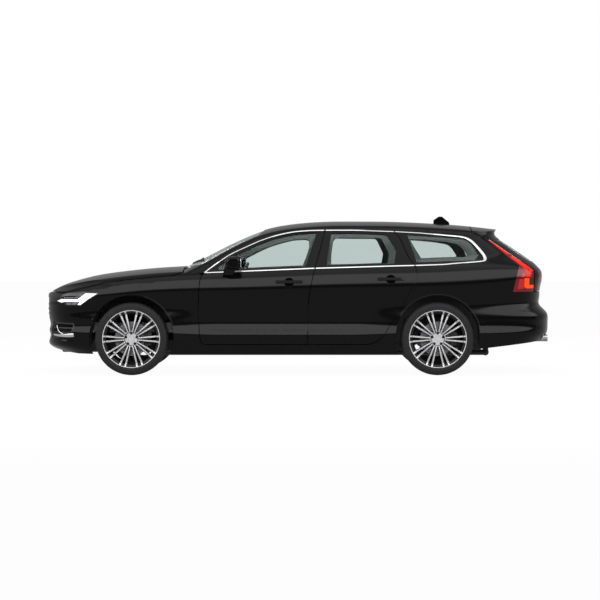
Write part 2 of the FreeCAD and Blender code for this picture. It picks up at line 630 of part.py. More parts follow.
def hinge(x):
    """one door's two hinges: slots and bores in the door, its lugs, and the body's arms with their pins"""
    slots, lugs, bores, arms = [], [], [], []
    for share in HINGE_SHARES:
        low = share * HEIGHT - HINGE_ARM_TALL / 2
        high = low + HINGE_ARM_TALL
        lug_low, lug_high = low - HINGE_PLAY - HINGE_LUG_TALL, high + HINGE_PLAY + HINGE_LUG_TALL
        slots.append(box(x - 2 * SWEEP_RADIUS, x + EYE_RADIUS + HINGE_SLOT, -HINGE_Y - EYE_RADIUS - FIT, 0,
                         low - HINGE_PLAY, high + HINGE_PLAY))
        lugs.append(box(x - HINGE_LUG_HALF, x + HINGE_LUG_HALF, -HINGE_Y - HINGE_PIN, -HINGE_Y + HINGE_LUG_DEEP,
                        lug_low, lug_high))
        bores.append(cylinder_z(x, -HINGE_Y, HINGE_PIN + FIT, lug_low, lug_high))
        outline = [(EYE_RADIUS, 0), (-EYE_RADIUS, 0),
                   (-ARM_ROOT_FROM, ARM_ROOT_IN), (-ARM_ROOT_TO, ARM_ROOT_IN)]
        points = [V(x + along, inward - HINGE_Y, low) for along, inward in outline]
        arms.append(Part.Face(Part.makePolygon(points + points[:1])).extrude(V(0, 0, HINGE_ARM_TALL)).fuse(
            [cylinder_z(x, -HINGE_Y, EYE_RADIUS, low, high),
             cylinder_z(x, -HINGE_Y, HINGE_PIN, lug_low + HINGE_PLAY, lug_high - HINGE_PLAY)]))
    return slots, lugs, bores, arms


def cup(x, z):
    return Part.makeSphere(CUP_RADIUS, V(x, -half_width(x, z) - CUP_RADIUS + CUP_DEEP, z))


def door(outline, window, index, hinges):
    whole = left_prism(outline, -GAP / 2).common(out)
    thick = left_prism(outline, -GAP / 2 - DOOR_SET)
    panel = whole.cut(flange_core.cut(thick)).cut(cavity_all)
    hole = left_prism(window)
    x, z = side_point(HANDLE_SHARES[index])
    a, b, high = REST_SHARES[index]
    x0, x1, z1 = FRONT + a * LENGTH, FRONT + b * LENGTH, high * HEIGHT
    rest = rounded(box(x0, x1, -REST_BACK, -REST_FACE, z1 - REST_WIDE, z1), REST_ROUND, V(1, 0, 0))
    a, b, low, high = POCKET_SHARES[index]
    pocket = rounded(box(FRONT + a * LENGTH, FRONT + b * LENGTH, -POCKET_FACE, 0, low * HEIGHT, high * HEIGHT),
                     POCKET_ROUND, V(0, 1, 0))
    panel = panel.cut(hole).cut(cup(x, z)).cut(pocket).fuse([handle(x, z), rest])
    slots, lugs, bores, arms = hinges
    panel = panel.fuse(lugs)
    for cut in slots + bores:
        panel = panel.cut(cut)
    return one(panel), glass_in(hole)


def door_hole(outline, hinge_x):
    """cuts for one door: the rebate, the hole inside it and room for the hinge edge to turn"""
    wide = left_prism(outline, GAP / 2)
    step = wide.cut(rabbet_core)
    inner = left_prism(outline, -GAP / 2 - LIP)
    turn = wide.common(cylinder_z(hinge_x, -HINGE_Y, SWEEP_RADIUS, 0, HEIGHT))
    return [step, inner, turn]


front_hinges, rear_hinges = hinge(FRONT_HINGE_X), hinge(REAR_HINGE_X)
front_panel, front_glass = door(FRONT_DOOR, FRONT_WINDOW_SHARES, 0, front_hinges)
rear_panel, rear_glass = door(REAR_DOOR, REAR_WINDOW_SHARES, 1, rear_hinges)
save("door_front_left_panel", front_panel)
save("door_front_left_glass", front_glass)
save("door_front_right_panel", mirrored(front_panel))
save("door_front_right_glass", mirrored(front_glass))
save("door_rear_left_panel", rear_panel)
save("door_rear_left_glass", rear_glass)
save("door_rear_right_panel", mirrored(rear_panel))
save("door_rear_right_glass", mirrored(rear_glass))

# Arches
ARCH_RADIUS = 407.0
ARCH_RISE = 12.0
LINER_THICK = 12.0
LINER_INNER_REAR = 640.0
LINER_INNER_FRONT = 500.0
LINER_LOW = 300.0
LINER_WALL = 12.0
AXLE_HOLE = 70.0
ARCH_Z = TYRE_RADIUS + ARCH_RISE


def arch(x, radius, inner):
    return cylinder_y(x, ARCH_Z, radius, -WIDTH, -inner)


front_arch = arch(FRONT_AXLE, ARCH_RADIUS, 0)
rear_arch = arch(REAR_AXLE, ARCH_RADIUS, LINER_INNER_REAR - LINER_WALL)
behind_skin = box(-LENGTH, LENGTH, -WIDTH, 0, LINER_LOW, HEIGHT)
front_liner = arch(FRONT_AXLE, ARCH_RADIUS + LINER_THICK, LINER_INNER_FRONT).cut(
    arch(FRONT_AXLE, ARCH_RADIUS, 0)).common(behind_skin).common(front_layer(SKIN + SEAT))
rear_liner = arch(REAR_AXLE, ARCH_RADIUS + LINER_THICK, LINER_INNER_REAR - LINER_WALL).cut(
    arch(REAR_AXLE, ARCH_RADIUS, LINER_INNER_REAR)).common(behind_skin).common(back_core)
rear_liner = rear_liner.cut(cylinder_y(REAR_AXLE, TYRE_RADIUS, AXLE_HOLE, -WIDTH, 0))
rear_liner_room = arch(REAR_AXLE, ARCH_RADIUS + LINER_THICK, LINER_INNER_REAR - LINER_WALL).common(back_core)
save("wheel_arch_liners", group([one(front_liner), one(rear_liner), mirrored(one(front_liner)),
                                 mirrored(one(rear_liner))]))

# Body sides, roof, floor, bulkhead
UNDER_FROM = 938.0
BONNET_TOP_Z = 1200.0
MAT_THICK = 6.0
MAT_HALF = 560.0
MAT_ROUND = 40.0
MAT_FROM = 1100.0
MAT_TO = 2150.0
wide = WIDTH + PAD
tailgate_outline = corners(TAILGATE_SHARES)
bumper_rear = across_prism(corners(REAR_BUMPER_SHARES))
tail_lamp_cut = left_prism(corners(TAILLAMP_SHARES), inner=-SPLIT)
nose_out = front_layer(0.0)
bonnet_edge_line = [side_point(p) for p in BONNET_CUT_SHARES]
bonnet_flat = bonnet_edge_line + [(BONNET_END, BONNET_TOP_Z), (FRONT - PAD, BONNET_TOP_Z)]


def bonnet_prism(grow):
    return prism(corners(bonnet_flat), lambda p: V(p[0], -wide, p[1]), V(0, 2 * wide, 0), grow)


bonnet_room = bonnet_prism(GAP * 3 / 4)
lamp_core = cabin_layer(LAMP_DEPTH)
screen_cut = plan_prism(WINDSCREEN_SHARES, BELT_REF - PAD, HEIGHT + PAD)
tailgate_hole = across_prism(tailgate_outline, TAIL_GAP / 2)

cavity = cavity_all.common(group([
    box(COWL_X + BULKHEAD_THICK, KICK_X, -wide, wide, FLOOR_TOP, HEIGHT),
    box(KICK_X, LENGTH, -wide, wide, LOAD_TOP, HEIGHT)]))
shell = out.common(box(COWL_X, LENGTH, -wide, wide, SILL_BOTTOM, HEIGHT + PAD)).cut(cavity)
shell = shell.cut(tailgate_hole).cut(screen_cut)

wing_outline = left_prism(corners(WING_SHARES))
wing_room = wing_outline.cut(back_core)
wing_top_room = wing_outline.common(front_layer(-SEAT)).cut(front_layer(SKIN + SEAT))
underneath = back_core.common(box(UNDER_FROM, LENGTH, -wide, wide, 0, LOAD_BOTTOM))
cuts = door_hole(FRONT_DOOR, FRONT_HINGE_X) + door_hole(REAR_DOOR, REAR_HINGE_X)
cuts += [wing_room, wing_top_room, bonnet_room, rear_arch, rear_liner_room, bumper_rear.cut(back_core),
         tail_lamp_cut.cut(lamp_core), left_prism(QUARTER_WINDOW_SHARES), underneath]
side = shell.common(box(-LENGTH, LENGTH, -wide, -SPLIT, 0, HEIGHT + PAD))
for cut in cuts:
    side = side.cut(cut)
body_side = one(side.fuse(front_hinges[3] + rear_hinges[3]))
save("body_side_left", body_side)
save("body_side_right", mirrored(body_side))
save("quarter_windows", pair(glass_in(left_prism(QUARTER_WINDOW_SHARES))))

middle = shell.common(box(-LENGTH, LENGTH, -SPLIT, SPLIT, 0, HEIGHT + PAD))
ROOF_FROM_Z = 1200.0
roof = one(middle.common(box(SCREEN_FROM - SCREEN_RUN, LENGTH, -wide, wide, ROOF_FROM_Z, HEIGHT + PAD)))
TAIL_HINGE_X = 1710.0
TAIL_HINGE_Y = 100.0
TAIL_HINGE_Z = 1430.0
TAIL_ARM_LOW = 1364.0
TAIL_FOOT_X = 1650.0
TAIL_FOOT_WIDE = 26.0
TAIL_FOOT_THICK = 14.0
tail_cuts = []
for y in (-TAIL_HINGE_Y, TAIL_HINGE_Y):
    arm, cuts = lid_hinge(TAIL_HINGE_X, y, TAIL_HINGE_Z, TAIL_ARM_LOW, TAIL_FOOT_X,
                          TAIL_HINGE_X + LID_EYE + HINGE_PLAY)
    foot = box(TAIL_FOOT_X, TAIL_HINGE_X, y - LID_ARM_HALF, y + LID_ARM_HALF, TAIL_ARM_LOW,
               TAIL_ARM_LOW + TAIL_FOOT_THICK)
    riser = box(TAIL_FOOT_X, TAIL_FOOT_X + TAIL_FOOT_WIDE, y - LID_ARM_HALF, y + LID_ARM_HALF, TAIL_ARM_LOW,
                TAIL_HINGE_Z - TAIL_FOOT_THICK)
    roof = roof.fuse([arm, foot, riser])
    tail_cuts += cuts
roof = one(roof)
save("roof_panel", roof)
CABIN_FLOOR_TO = KICK_X + KICK_THICK
floor = [box(COWL_X + BULKHEAD_THICK, CABIN_FLOOR_TO, -SPLIT, SPLIT, FLOOR_BOTTOM, FLOOR_TOP),
         box(KICK_X, CABIN_FLOOR_TO, -SPLIT, SPLIT, FLOOR_TOP, LOAD_TOP),
         middle.common(box(CABIN_FLOOR_TO, LENGTH, -SPLIT, SPLIT, LOAD_BOTTOM, BELT_REF)).cut(
             bumper_rear.cut(back_core))]
mat = rounded(box(MAT_FROM, MAT_TO, -MAT_HALF, MAT_HALF, LOAD_TOP - MAT_THICK, LOAD_TOP + MAT_THICK), MAT_ROUND,
              V(0, 0, 1))
floor_pan = floor[0].fuse(floor[1]).fuse(floor[2]).fuse(mat)
save("floor_pan", one(floor_pan))
cowl = middle.common(box(COWL_FRONT, SCREEN_FROM - SCREEN_RUN, -wide, wide, BELT_REF - ROOF_THICK, HEIGHT))
bulkhead = box(COWL_X, COWL_X + BULKHEAD_THICK, -SPLIT, SPLIT, FLOOR_BOTTOM, BELT_REF - ROOF_THICK)
COWL_SHELF = 40.0
shelf = box(COWL_X, COWL_FRONT + COWL_SHELF, -SPLIT, SPLIT, BELT_REF - ROOF_THICK - COWL_SHELF,
            BELT_REF - ROOF_THICK)
BONNET_HINGE_X = -1118.0
BONNET_HINGE_Y = 150.0
BONNET_HINGE_Z = 1034.0
bulkhead = bulkhead.fuse(shelf).fuse(cowl)
bonnet_cuts = []
for y in (-BONNET_HINGE_Y, BONNET_HINGE_Y):
    arm, cuts = lid_hinge(BONNET_HINGE_X, y, BONNET_HINGE_Z, BELT_REF - ROOF_THICK - COWL_SHELF,
                          BONNET_HINGE_X - LID_EYE - HINGE_PLAY, COWL_FRONT)
    bulkhead = bulkhead.fuse(arm)
    bonnet_cuts += cuts
bulkhead = one(bulkhead)
save("bulkhead", bulkhead)
screen = one(screen_cut.common(cabin_layer(0, 0, 0, GLASS_DEPTH)).cut(
    cabin_layer(0, 0, 0, GLASS_DEPTH + GLASS_THICK + SEAT)))
save("windscreen", screen)

# Tailgate
BACK_FROM = 1700.0
tailgate = across_prism(tailgate_outline, -TAIL_GAP / 2).common(out).cut(cavity_all)
back_hole = end_prism(BACK_WINDOW_SHARES, BACK_FROM, LENGTH)
back_lamp = end_prism(BACK_LAMP_SHARES, BACK_FROM, LENGTH)
back_lamps = [back_lamp, mirrored(back_lamp)]
back_lens = [one(c.common(out).cut(cabin_layer(0, 0, SKIN, 0))) for c in back_lamps]
PLATE_FACE = 2392.0       # bottom of the plate's recess, which stays bare
PLATE_HALF = 266.0
PLATE_LOW = 838.0
PLATE_HIGH = 958.0
PLATE_ROUND = 12.0
plate_recess = rounded(box(PLATE_FACE, LENGTH, -PLATE_HALF, PLATE_HALF, PLATE_LOW, PLATE_HIGH), PLATE_ROUND,
                       V(1, 0, 0))
for cut in [back_hole, plate_recess] + back_lens + tail_cuts:
    tailgate = tailgate.cut(cut)
save("tailgate_panel", one(tailgate))
save("tailgate_glass", one(back_hole.common(cabin_layer(0, 0, GLASS_DEPTH, 0)).cut(
    cabin_layer(0, 0, GLASS_DEPTH + GLASS_THICK, 0))))
save("tailgate_lamps", group(back_lens))
tail_lamp = one(tail_lamp_cut.common(out).cut(lamp_core).cut(tailgate_hole))
save("tail_lamps", pair(tail_lamp))
rear_bumper = bumper_rear.common(out).cut(cabin_layer(SKIN)).cut(rear_arch).cut(mirrored(rear_arch))
rear_bumper = rear_bumper.cut(tailgate_hole)
TIP_Y = 470.0             # exhaust tips
TIP_HALF_WIDE = 62.0
TIP_HALF_TALL = 32.0
TIP_Z = 345.0
TIP_END = 2440.0
TIP_WALL = 5.0
for y in (-TIP_Y, TIP_Y):
    rear_bumper = rear_bumper.cut(box(0, LENGTH, y - TIP_HALF_WIDE - GAP, y + TIP_HALF_WIDE + GAP, 0,
                                      TIP_Z + TIP_HALF_TALL + GAP))
save("rear_bumper", one(rear_bumper))

# Front end
GRILLE_BACK = -2250.0
INTAKE_BACK = -2150.0
BONNET_SKIN = 12.0        # thickness between the ribs
# pockets under the bonnet: (share of the length, share of half the width)
BONNET_POCKET_SHARES = [
    [(0.0580, 0.060), (0.1130, 0.060), (0.1130, 0.520), (0.0750, 0.400)],
    [(0.1250, 0.060), (0.1830, 0.060), (0.1830, 0.640), (0.1250, 0.540)],
    [(0.1950, 0.060), (0.2500, 0.060), (0.2500, 0.700), (0.1950, 0.655)]]
nose_skin = nose_out.cut(front_layer(SKIN))
bonnet = bonnet_prism(-GAP / 2).common(nose_out).cut(front_layer(BONNET_THICK))
pocket_core = front_layer(BONNET_SKIN)
for outline in BONNET_POCKET_SHARES:
    pocket = plan_prism(corners(outline), LOWER_REF, HEIGHT).common(pocket_core)
    bonnet = bonnet.cut(pocket).cut(mirrored(pocket))
for cut in bonnet_cuts:
    bonnet = bonnet.cut(cut)
save("bonnet", one(bonnet))
lamp_low = box(-LENGTH, 0, -WIDTH, -FRONT_LAMP_FROM, 0, HEIGHT)
head_cut = left_prism(corners(HEADLAMP_SHARES)).common(lamp_low)
head_lamp = one(head_cut.common(nose_out).cut(front_layer(LAMP_DEPTH)))
save("headlamps", pair(head_lamp))
head_cuts = [head_cut, mirrored(head_cut)]
bumper_cut = across_prism(corners(FRONT_BUMPER_SHARES))
grille_cut = end_prism(GRILLE_SHARES, -LENGTH, GRILLE_BACK)
intake_cut = end_prism(INTAKE_SHARES, -LENGTH, INTAKE_BACK)
intake_cuts = [intake_cut, mirrored(intake_cut)]
arches = [front_arch, mirrored(front_arch)]
front_bumper = bumper_cut.common(nose_skin)
for cut in [bonnet_room, grille_cut] + head_cuts + intake_cuts + arches:
    front_bumper = front_bumper.cut(cut)
save("front_bumper", one(front_bumper))
wing = wing_outline.common(nose_skin)
for cut in [bonnet_room, head_cut, bumper_cut, front_arch, left_prism(FRONT_DOOR, GAP / 2)]:
    wing = wing.cut(cut)
wing = one(wing)
save("front_wings", pair(wing))

# grille: a rim and slats in the middle, slats in each side intake
GRILLE_SET = 6.0
GRILLE_DEEP = 18.0
SLAT_COUNT = 9
INTAKE_SLATS = 4
SLAT_HEIGHT = 9.0
RIM_WIDTH = 16.0
grille_skin = front_layer(GRILLE_SET).cut(front_layer(GRILLE_SET + GRILLE_DEEP))


def slats(cut, inner, z0, z1, count):
    step = (z1 - z0) / count
    bars = [box(-LENGTH, 0, -wide, wide, z0 + (i + 1 / 2) * step - SLAT_HEIGHT / 2,
                z0 + (i + 1 / 2) * step + SLAT_HEIGHT / 2) for i in range(count)]
    rim = cut.cut(inner)
    whole = rim
    for bar in bars:
        whole = whole.fuse(bar.common(inner))
    return one(whole.common(grille_skin))


grille_inner = end_prism(GRILLE_SHARES, -LENGTH, GRILLE_BACK, -RIM_WIDTH)
middle_grille = slats(grille_cut, grille_inner, HEIGHT * GRILLE_SHARES[3][1], HEIGHT * GRILLE_SHARES[0][1],
                      SLAT_COUNT)
intake_inner = end_prism(INTAKE_SHARES, -LENGTH, INTAKE_BACK, -RIM_WIDTH)
side_grille = slats(intake_cut, intake_inner, HEIGHT * INTAKE_SHARES[3][1], HEIGHT * INTAKE_SHARES[0][1],
                    INTAKE_SLATS)
save("grille", group([middle_grille, side_grille, mirrored(side_grille)]))

# Mirrors, aerial, wipers
MIRROR_X = -617.0
MIRROR_Z = 1080.0
MIRROR_OUT = 985.0        # middle of the housing from the car's middle
MIRROR_LONG = 152.0
MIRROR_WIDE = 200.0
MIRROR_TALL = 128.0
MIRROR_BLUNT = 5.0        # power of the outline behind and in front
MIRROR_KEEN = 2.4
MIRROR_POINTS = 20
# across the housing: (share of its width from the middle, share of its full section)
MIRROR_SHARES = [(-0.50, 0.66), (-0.40, 0.88), (-0.15, 0.99), (0.15, 1.0), (0.38, 0.88), (0.48, 0.62)]
STALK_TOP_Z = 1046.0
STALK_LOW_Z = 962.0
# stalk seen from above: (share of the length, share of half the width), top and bottom
STALK_TOP_SHARES = [(0.3590, -1.060), (0.3850, -1.060), (0.3850, -0.985), (0.3590, -0.985)]
STALK_LOW_SHARES = [(0.3545, -0.990), (0.3730, -0.990), (0.3730, -0.900), (0.3545, -0.900)]


def housing_section(place, size):
    """outline across the mirror housing, blunt behind and round in front"""
    points = []
    for i in range(MIRROR_POINTS):
        a = 2 * math.pi * i / MIRROR_POINTS
        c, s = math.cos(a), math.sin(a)
        power = MIRROR_BLUNT if c > 0 else MIRROR_KEEN
        points.append(V(MIRROR_X + size * MIRROR_LONG / 2 * math.copysign(abs(c) ** (2 / power), c),
                        -MIRROR_OUT - place * MIRROR_WIDE,
                        MIRROR_Z + size * MIRROR_TALL / 2 * math.copysign(abs(s) ** (2 / power), s)))
    curve = Part.BSplineCurve()
    curve.interpolate(Points=points, PeriodicFlag=True)
    return Part.Wire([curve.toShape()])


def plan_wire(shares, z):
    points = [V(FRONT + a * LENGTH, b * WIDTH / 2, z) for a, b in shares]
    return Part.makePolygon(points + points[:1])


housing = Part.makeLoft([housing_section(*p) for p in MIRROR_SHARES], True)
stalk = Part.makeLoft([plan_wire(STALK_LOW_SHARES, STALK_LOW_Z),
                       plan_wire(STALK_TOP_SHARES, STALK_TOP_Z)], True)
mirror = one(housing.fuse(stalk).cut(out))
save("mirror_left", mirror)
save("mirror_right", mirrored(mirror))

FIN_WIDTH = 34.0
FIN_SHARES = [(0.7740, 0.9500), (0.7745, 1.0090), (0.7850, 1.0330), (0.7915, 1.0330), (0.8060, 0.9940),
              (0.8080, 0.9500)]
fin = prism(corners([side_point(p) for p in FIN_SHARES]), lambda p: V(p[0], -FIN_WIDTH / 2, p[1]),
            V(0, FIN_WIDTH, 0)).cut(out)
save("aerial", one(fin))

WIPER_THICK = 14.0
WIPER_SHARES = [       # (share of the length, share of half the width), one outline a wiper
    [(0.2905, 0.6200), (0.2945, 0.6240), (0.3110, -0.0600), (0.3080, -0.0640)],
    [(0.2875, -0.0300), (0.2915, -0.0260), (0.3160, -0.5600), (0.3130, -0.5640)]]
wiper_skin = cabin_layer(0, 0, 0, GLASS_DEPTH - WIPER_THICK).cut(cabin_layer(0, 0, 0, GLASS_DEPTH - SEAT))
wiper_skin = wiper_skin.common(plan_prism(WINDSCREEN_SHARES, BELT_REF - PAD, HEIGHT + PAD, -GAP / 2))
wipers = [one(plan_prism(corners(w), BELT_REF - PAD / 4, HEIGHT).common(wiper_skin)) for w in WIPER_SHARES]
save("wipers", group(wipers))

# Wheels
BEAD_RADIUS = 256.0
# barrel and flanges of the rim: (share of the bead's half width outwards, share of the bead's radius)
BARREL_SHARES = [
    (-1.1400, 1.0820), (-1.0926, 1.0820), (-1.0000, 1.0000), (-0.8800, 1.0000), (-0.7800, 0.9600),
    (-0.6000, 0.9250), (0.1000, 0.9250), (0.3500, 0.9700), (0.7800, 0.9900), (0.8600, 1.0000),
    (1.0000, 1.0000), (1.0926, 1.0820), (1.1660, 1.0820), (1.1000, 0.9650), (0.5000, 0.9400),
    (0.1500, 0.8900), (-0.6200, 0.8900), (-0.8200, 0.9300), (-1.1000, 0.9650)]
TYRE_BEAD_HALF = 108.0
TYRE_SHOULDER_RADIUS = 331.0
TYRE_SHOULDER_HALF = 121.0
TYRE_SIDE_RADIUS = 298.0
TREAD_HALF = 97.0
RIM_FACE = 96.0           # spoke face from the wheel's middle plane
SPOKE_THICK = 30.0
SPOKE_IN_RADIUS = 60.0
SPOKE_OUT_RADIUS = 246.0
SPOKE_IN_WIDTH = 17.0
SPOKE_OUT_WIDTH = 24.0
SPOKE_PAIR_IN = 9.0       # half the pair's spread where it leaves the hub
SPOKE_PAIR_OUT = 25.0
SPOKE_PAIRS = 10
HUB_RADIUS = 78.0
HUB_FACE = 88.0
BOLT_CIRCLE = 54.0
BOLT_COUNT = 5
BOLT_RECESS = 12.5        # radius
BOLT_DEEP = 16.0
CAP_RADIUS = 30.0         # plain cap in the hub's middle
CAP_GROOVE = 3.0
DISC_RADIUS = 165.0
DISC_OUT = 12.0           # outer face of the brake disc from the wheel's middle plane
DISC_THICK = 22.0
SPINDLE_RADIUS = 22.0
SPINDLE_END = 60.0        # from the middle plane
HUB_BORE_DEEP = 62.0
WHEEL_Y = TRACK / 2


def revolved(profile, x, y):
    """ring about the wheel's axle from (distance outwards from the middle plane, radius) pairs, left side"""
    points = [V(x, -y - a, TYRE_RADIUS + r) for a, r in profile]
    face = Part.Face(Part.makePolygon(points + points[:1]))
    return face.revolve(V(x, 0, TYRE_RADIUS), V(0, 1, 0), 360)


def tyre(x):
    half = [(TYRE_BEAD_HALF, BEAD_RADIUS), (TYRE_WIDTH / 2, TYRE_SIDE_RADIUS),
            (TYRE_SHOULDER_HALF, TYRE_SHOULDER_RADIUS), (TREAD_HALF, TYRE_RADIUS)]
    return revolved(half + [(-a, r) for a, r in reversed(half)], x, WHEEL_Y)


def rim(x):
    parts = [revolved([(a * TYRE_BEAD_HALF, r * BEAD_RADIUS) for a, r in BARREL_SHARES], x, WHEEL_Y)]
    hub = cylinder_y(x, TYRE_RADIUS, HUB_RADIUS, -WHEEL_Y - HUB_FACE, -WHEEL_Y - DISC_OUT)
    disc = cylinder_y(x, TYRE_RADIUS, DISC_RADIUS, -WHEEL_Y - DISC_OUT, -WHEEL_Y - DISC_OUT + DISC_THICK)
    parts += [hub, disc]
    half_in, half_out = SPOKE_IN_WIDTH / 2, SPOKE_OUT_WIDTH / 2
    y = -WHEEL_Y - RIM_FACE
    for k in range(SPOKE_PAIRS):
        for side in (-1, 1):
            near, far = side * SPOKE_PAIR_IN, side * SPOKE_PAIR_OUT
            arm = [(SPOKE_IN_RADIUS, near - half_in), (SPOKE_OUT_RADIUS, far - half_out),
                   (SPOKE_OUT_RADIUS, far + half_out), (SPOKE_IN_RADIUS, near + half_in)]
            points = [V(x + a, y, TYRE_RADIUS + b) for a, b in arm]
            bar = Part.Face(Part.makePolygon(points + points[:1])).extrude(V(0, SPOKE_THICK, 0))
            parts.append(bar.rotate(V(x, 0, TYRE_RADIUS), V(0, 1, 0), 360 * k / SPOKE_PAIRS))
    whole = parts[0].fuse(parts[1:])
    face, floor_y = -WHEEL_Y - RIM_FACE, -WHEEL_Y - HUB_FACE + BOLT_DEEP
    for k in range(BOLT_COUNT):
        recess = cylinder_y(x, TYRE_RADIUS + BOLT_CIRCLE, BOLT_RECESS, face, floor_y)
        whole = whole.cut(recess.rotate(V(x, 0, TYRE_RADIUS), V(0, 1, 0), 360 * k / BOLT_COUNT))
    groove = cylinder_y(x, TYRE_RADIUS, CAP_RADIUS, face, -WHEEL_Y - HUB_FACE + CAP_GROOVE).cut(
        cylinder_y(x, TYRE_RADIUS, CAP_RADIUS - CAP_GROOVE, face, 0))
    whole = whole.cut(groove)
    bore = cylinder_y(x, TYRE_RADIUS, SPINDLE_RADIUS + FIT, -WHEEL_Y - HUB_BORE_DEEP, 0)
    return one(whole.cut(bore))


wheel_parts = {"tyre": tyre(0.0), "rim": rim(0.0)}
for name, shape in wheel_parts.items():
    for place, x in (("front", FRONT_AXLE), ("rear", REAR_AXLE)):
        left = shape.translated(V(x, 0, 0))
        save(name + "_" + place + "_left", left)
        save(name + "_" + place + "_right", mirrored(left))

# Knuckles and axles
KINGPIN_Y = 770.0
CARRIER_RADIUS = 45.0
CARRIER_IN = 735.0
DISC_GAP = 10.0
LUG_RADIUS = 26.0
LUG_THICK = 20.0
PIN_RADIUS = 12.0
PIN_PAST = 2.0
STRUT_RADIUS = 22.0
STRUT_RING = 33.0         # radius of the boot's folds
STRUT_FOLDS = 6
STRUT_Y = 600.0
LOW_LUG_Z = 240.0
HIGH_LUG_Z = 440.0
ARM_GAP = 8.0
ARM_THICK = 26.0
ARM_HALF = 30.0
ARM_FOOT_HALF = 70.0
POST_HALF = 20.0
POST_IN = 20.0
RAIL_Y = 435.0
RAIL_HALF = 35.0
RAIL_LOW = 400.0
RAIL_FRONT = -2330.0
CALIPER_IN_RADIUS = 118.0
CALIPER_OUT_RADIUS = 190.0
CALIPER_HALF = 62.0
CALIPER_ROUND = 16.0
CALIPER_OUT = 38.0        # outer end from the wheel's middle plane
carrier_end = WHEEL_Y + DISC_OUT - DISC_THICK - DISC_GAP


def hub_carrier(x, inner):
    """spindle with its shoulder, and the brake caliper round the disc"""
    shoulder = cylinder_y(x, TYRE_RADIUS, CARRIER_RADIUS, -carrier_end, -inner)
    spindle = cylinder_y(x, TYRE_RADIUS, SPINDLE_RADIUS, -WHEEL_Y - SPINDLE_END, -inner)
    caliper = box(x + CALIPER_IN_RADIUS, x + CALIPER_OUT_RADIUS, -WHEEL_Y - CALIPER_OUT,
                  -carrier_end + LUG_THICK, TYRE_RADIUS - CALIPER_HALF, TYRE_RADIUS + CALIPER_HALF)
    caliper = rounded(caliper, CALIPER_ROUND, V(0, 1, 0))
    slot = cylinder_y(x, TYRE_RADIUS, DISC_RADIUS + DISC_GAP, -WHEEL_Y - DISC_OUT - DISC_GAP, -carrier_end)
    bridge = box(x, x + CALIPER_OUT_RADIUS, -carrier_end, -carrier_end + LUG_THICK, TYRE_RADIUS - POST_HALF,
                 TYRE_RADIUS + POST_HALF)
    return shoulder.fuse([spindle, caliper.cut(slot), bridge])


knuckle = hub_carrier(FRONT_AXLE, CARRIER_IN)
for z in (LOW_LUG_Z, HIGH_LUG_Z):
    knuckle = knuckle.fuse(cylinder_z(FRONT_AXLE, -KINGPIN_Y, LUG_RADIUS, z, z + LUG_THICK))
post = box(FRONT_AXLE - POST_HALF, FRONT_AXLE + POST_HALF, -KINGPIN_Y, -CARRIER_IN + POST_IN, LOW_LUG_Z,
           HIGH_LUG_Z + LUG_THICK)
knuckle = knuckle.fuse(post)
for z in (LOW_LUG_Z - PIN_PAST, HIGH_LUG_Z - PIN_PAST):
    knuckle = knuckle.cut(cylinder_z(FRONT_AXLE, -KINGPIN_Y, PIN_RADIUS + FIT, z, z + LUG_THICK + 2 * PIN_PAST))
PIN_ROOM = 24.0
for z0, z1 in ((LOW_LUG_Z, LOW_LUG_Z + LUG_THICK + PIN_ROOM), (HIGH_LUG_Z - PIN_ROOM, HIGH_LUG_Z)):
    knuckle = knuckle.cut(cylinder_z(FRONT_AXLE, -KINGPIN_Y, PIN_RADIUS + FIT, z0, z1))
save("knuckle_left", one(knuckle))
save("knuckle_right", mirrored(one(knuckle)))



def strut(x, y, z0, z1):
    """damper in its folded boot"""
    step = (z1 - z0) / STRUT_FOLDS
    line = [V(x, y, z0)]
    for i in range(STRUT_FOLDS):
        line += [V(x + STRUT_RADIUS, y, z0 + i * step), V(x + STRUT_RING, y, z0 + (i + 1 / 2) * step)]
    line += [V(x + STRUT_RADIUS, y, z1), V(x, y, z1)]
    return Part.Face(Part.makePolygon(line + line[:1])).revolve(V(x, y, 0), V(0, 0, 1), 360)


low_top = LOW_LUG_Z - ARM_GAP
high_low = HIGH_LUG_Z + LUG_THICK + ARM_GAP
high_top = high_low + ARM_THICK


def arm(foot_y, end_y, z0, z1):
    """wishbone: wide at the frame, narrow at the kingpin"""
    narrow, broad = LUG_RADIUS, ARM_FOOT_HALF
    outline = [(-narrow, -KINGPIN_Y), (narrow, -KINGPIN_Y), (broad, foot_y), (broad, end_y), (-broad, end_y),
               (-broad, foot_y)]
    points = [V(FRONT_AXLE + a, y, z0) for a, y in outline]
    return Part.Face(Part.makePolygon(points + points[:1])).extrude(V(0, 0, z1 - z0))


rail = box(RAIL_FRONT, COWL_X, -RAIL_Y - RAIL_HALF, -RAIL_Y + RAIL_HALF, RAIL_LOW, high_top)
low_arm = arm(-RAIL_Y, 0, low_top - ARM_THICK, low_top)
low_end = cylinder_z(FRONT_AXLE, -KINGPIN_Y, LUG_RADIUS, low_top - ARM_THICK, low_top)
low_pin = cylinder_z(FRONT_AXLE, -KINGPIN_Y, PIN_RADIUS, low_top, LOW_LUG_Z + LUG_THICK + PIN_PAST)
high_arm = arm(-RAIL_Y - RAIL_HALF, -RAIL_Y, high_low, high_top)
high_end = cylinder_z(FRONT_AXLE, -KINGPIN_Y, LUG_RADIUS, high_low, high_top)
high_pin = cylinder_z(FRONT_AXLE, -KINGPIN_Y, PIN_RADIUS, HIGH_LUG_Z - PIN_PAST, high_low)
hanger = box(FRONT_AXLE - ARM_HALF, FRONT_AXLE + ARM_HALF, -RAIL_Y - RAIL_HALF, -RAIL_Y + RAIL_HALF,
             low_top - ARM_THICK, RAIL_LOW)
RADIATOR_HALF = 400.0
RADIATOR_THICK = 45.0
RADIATOR_LOW = 300.0
RADIATOR_HIGH = 690.0
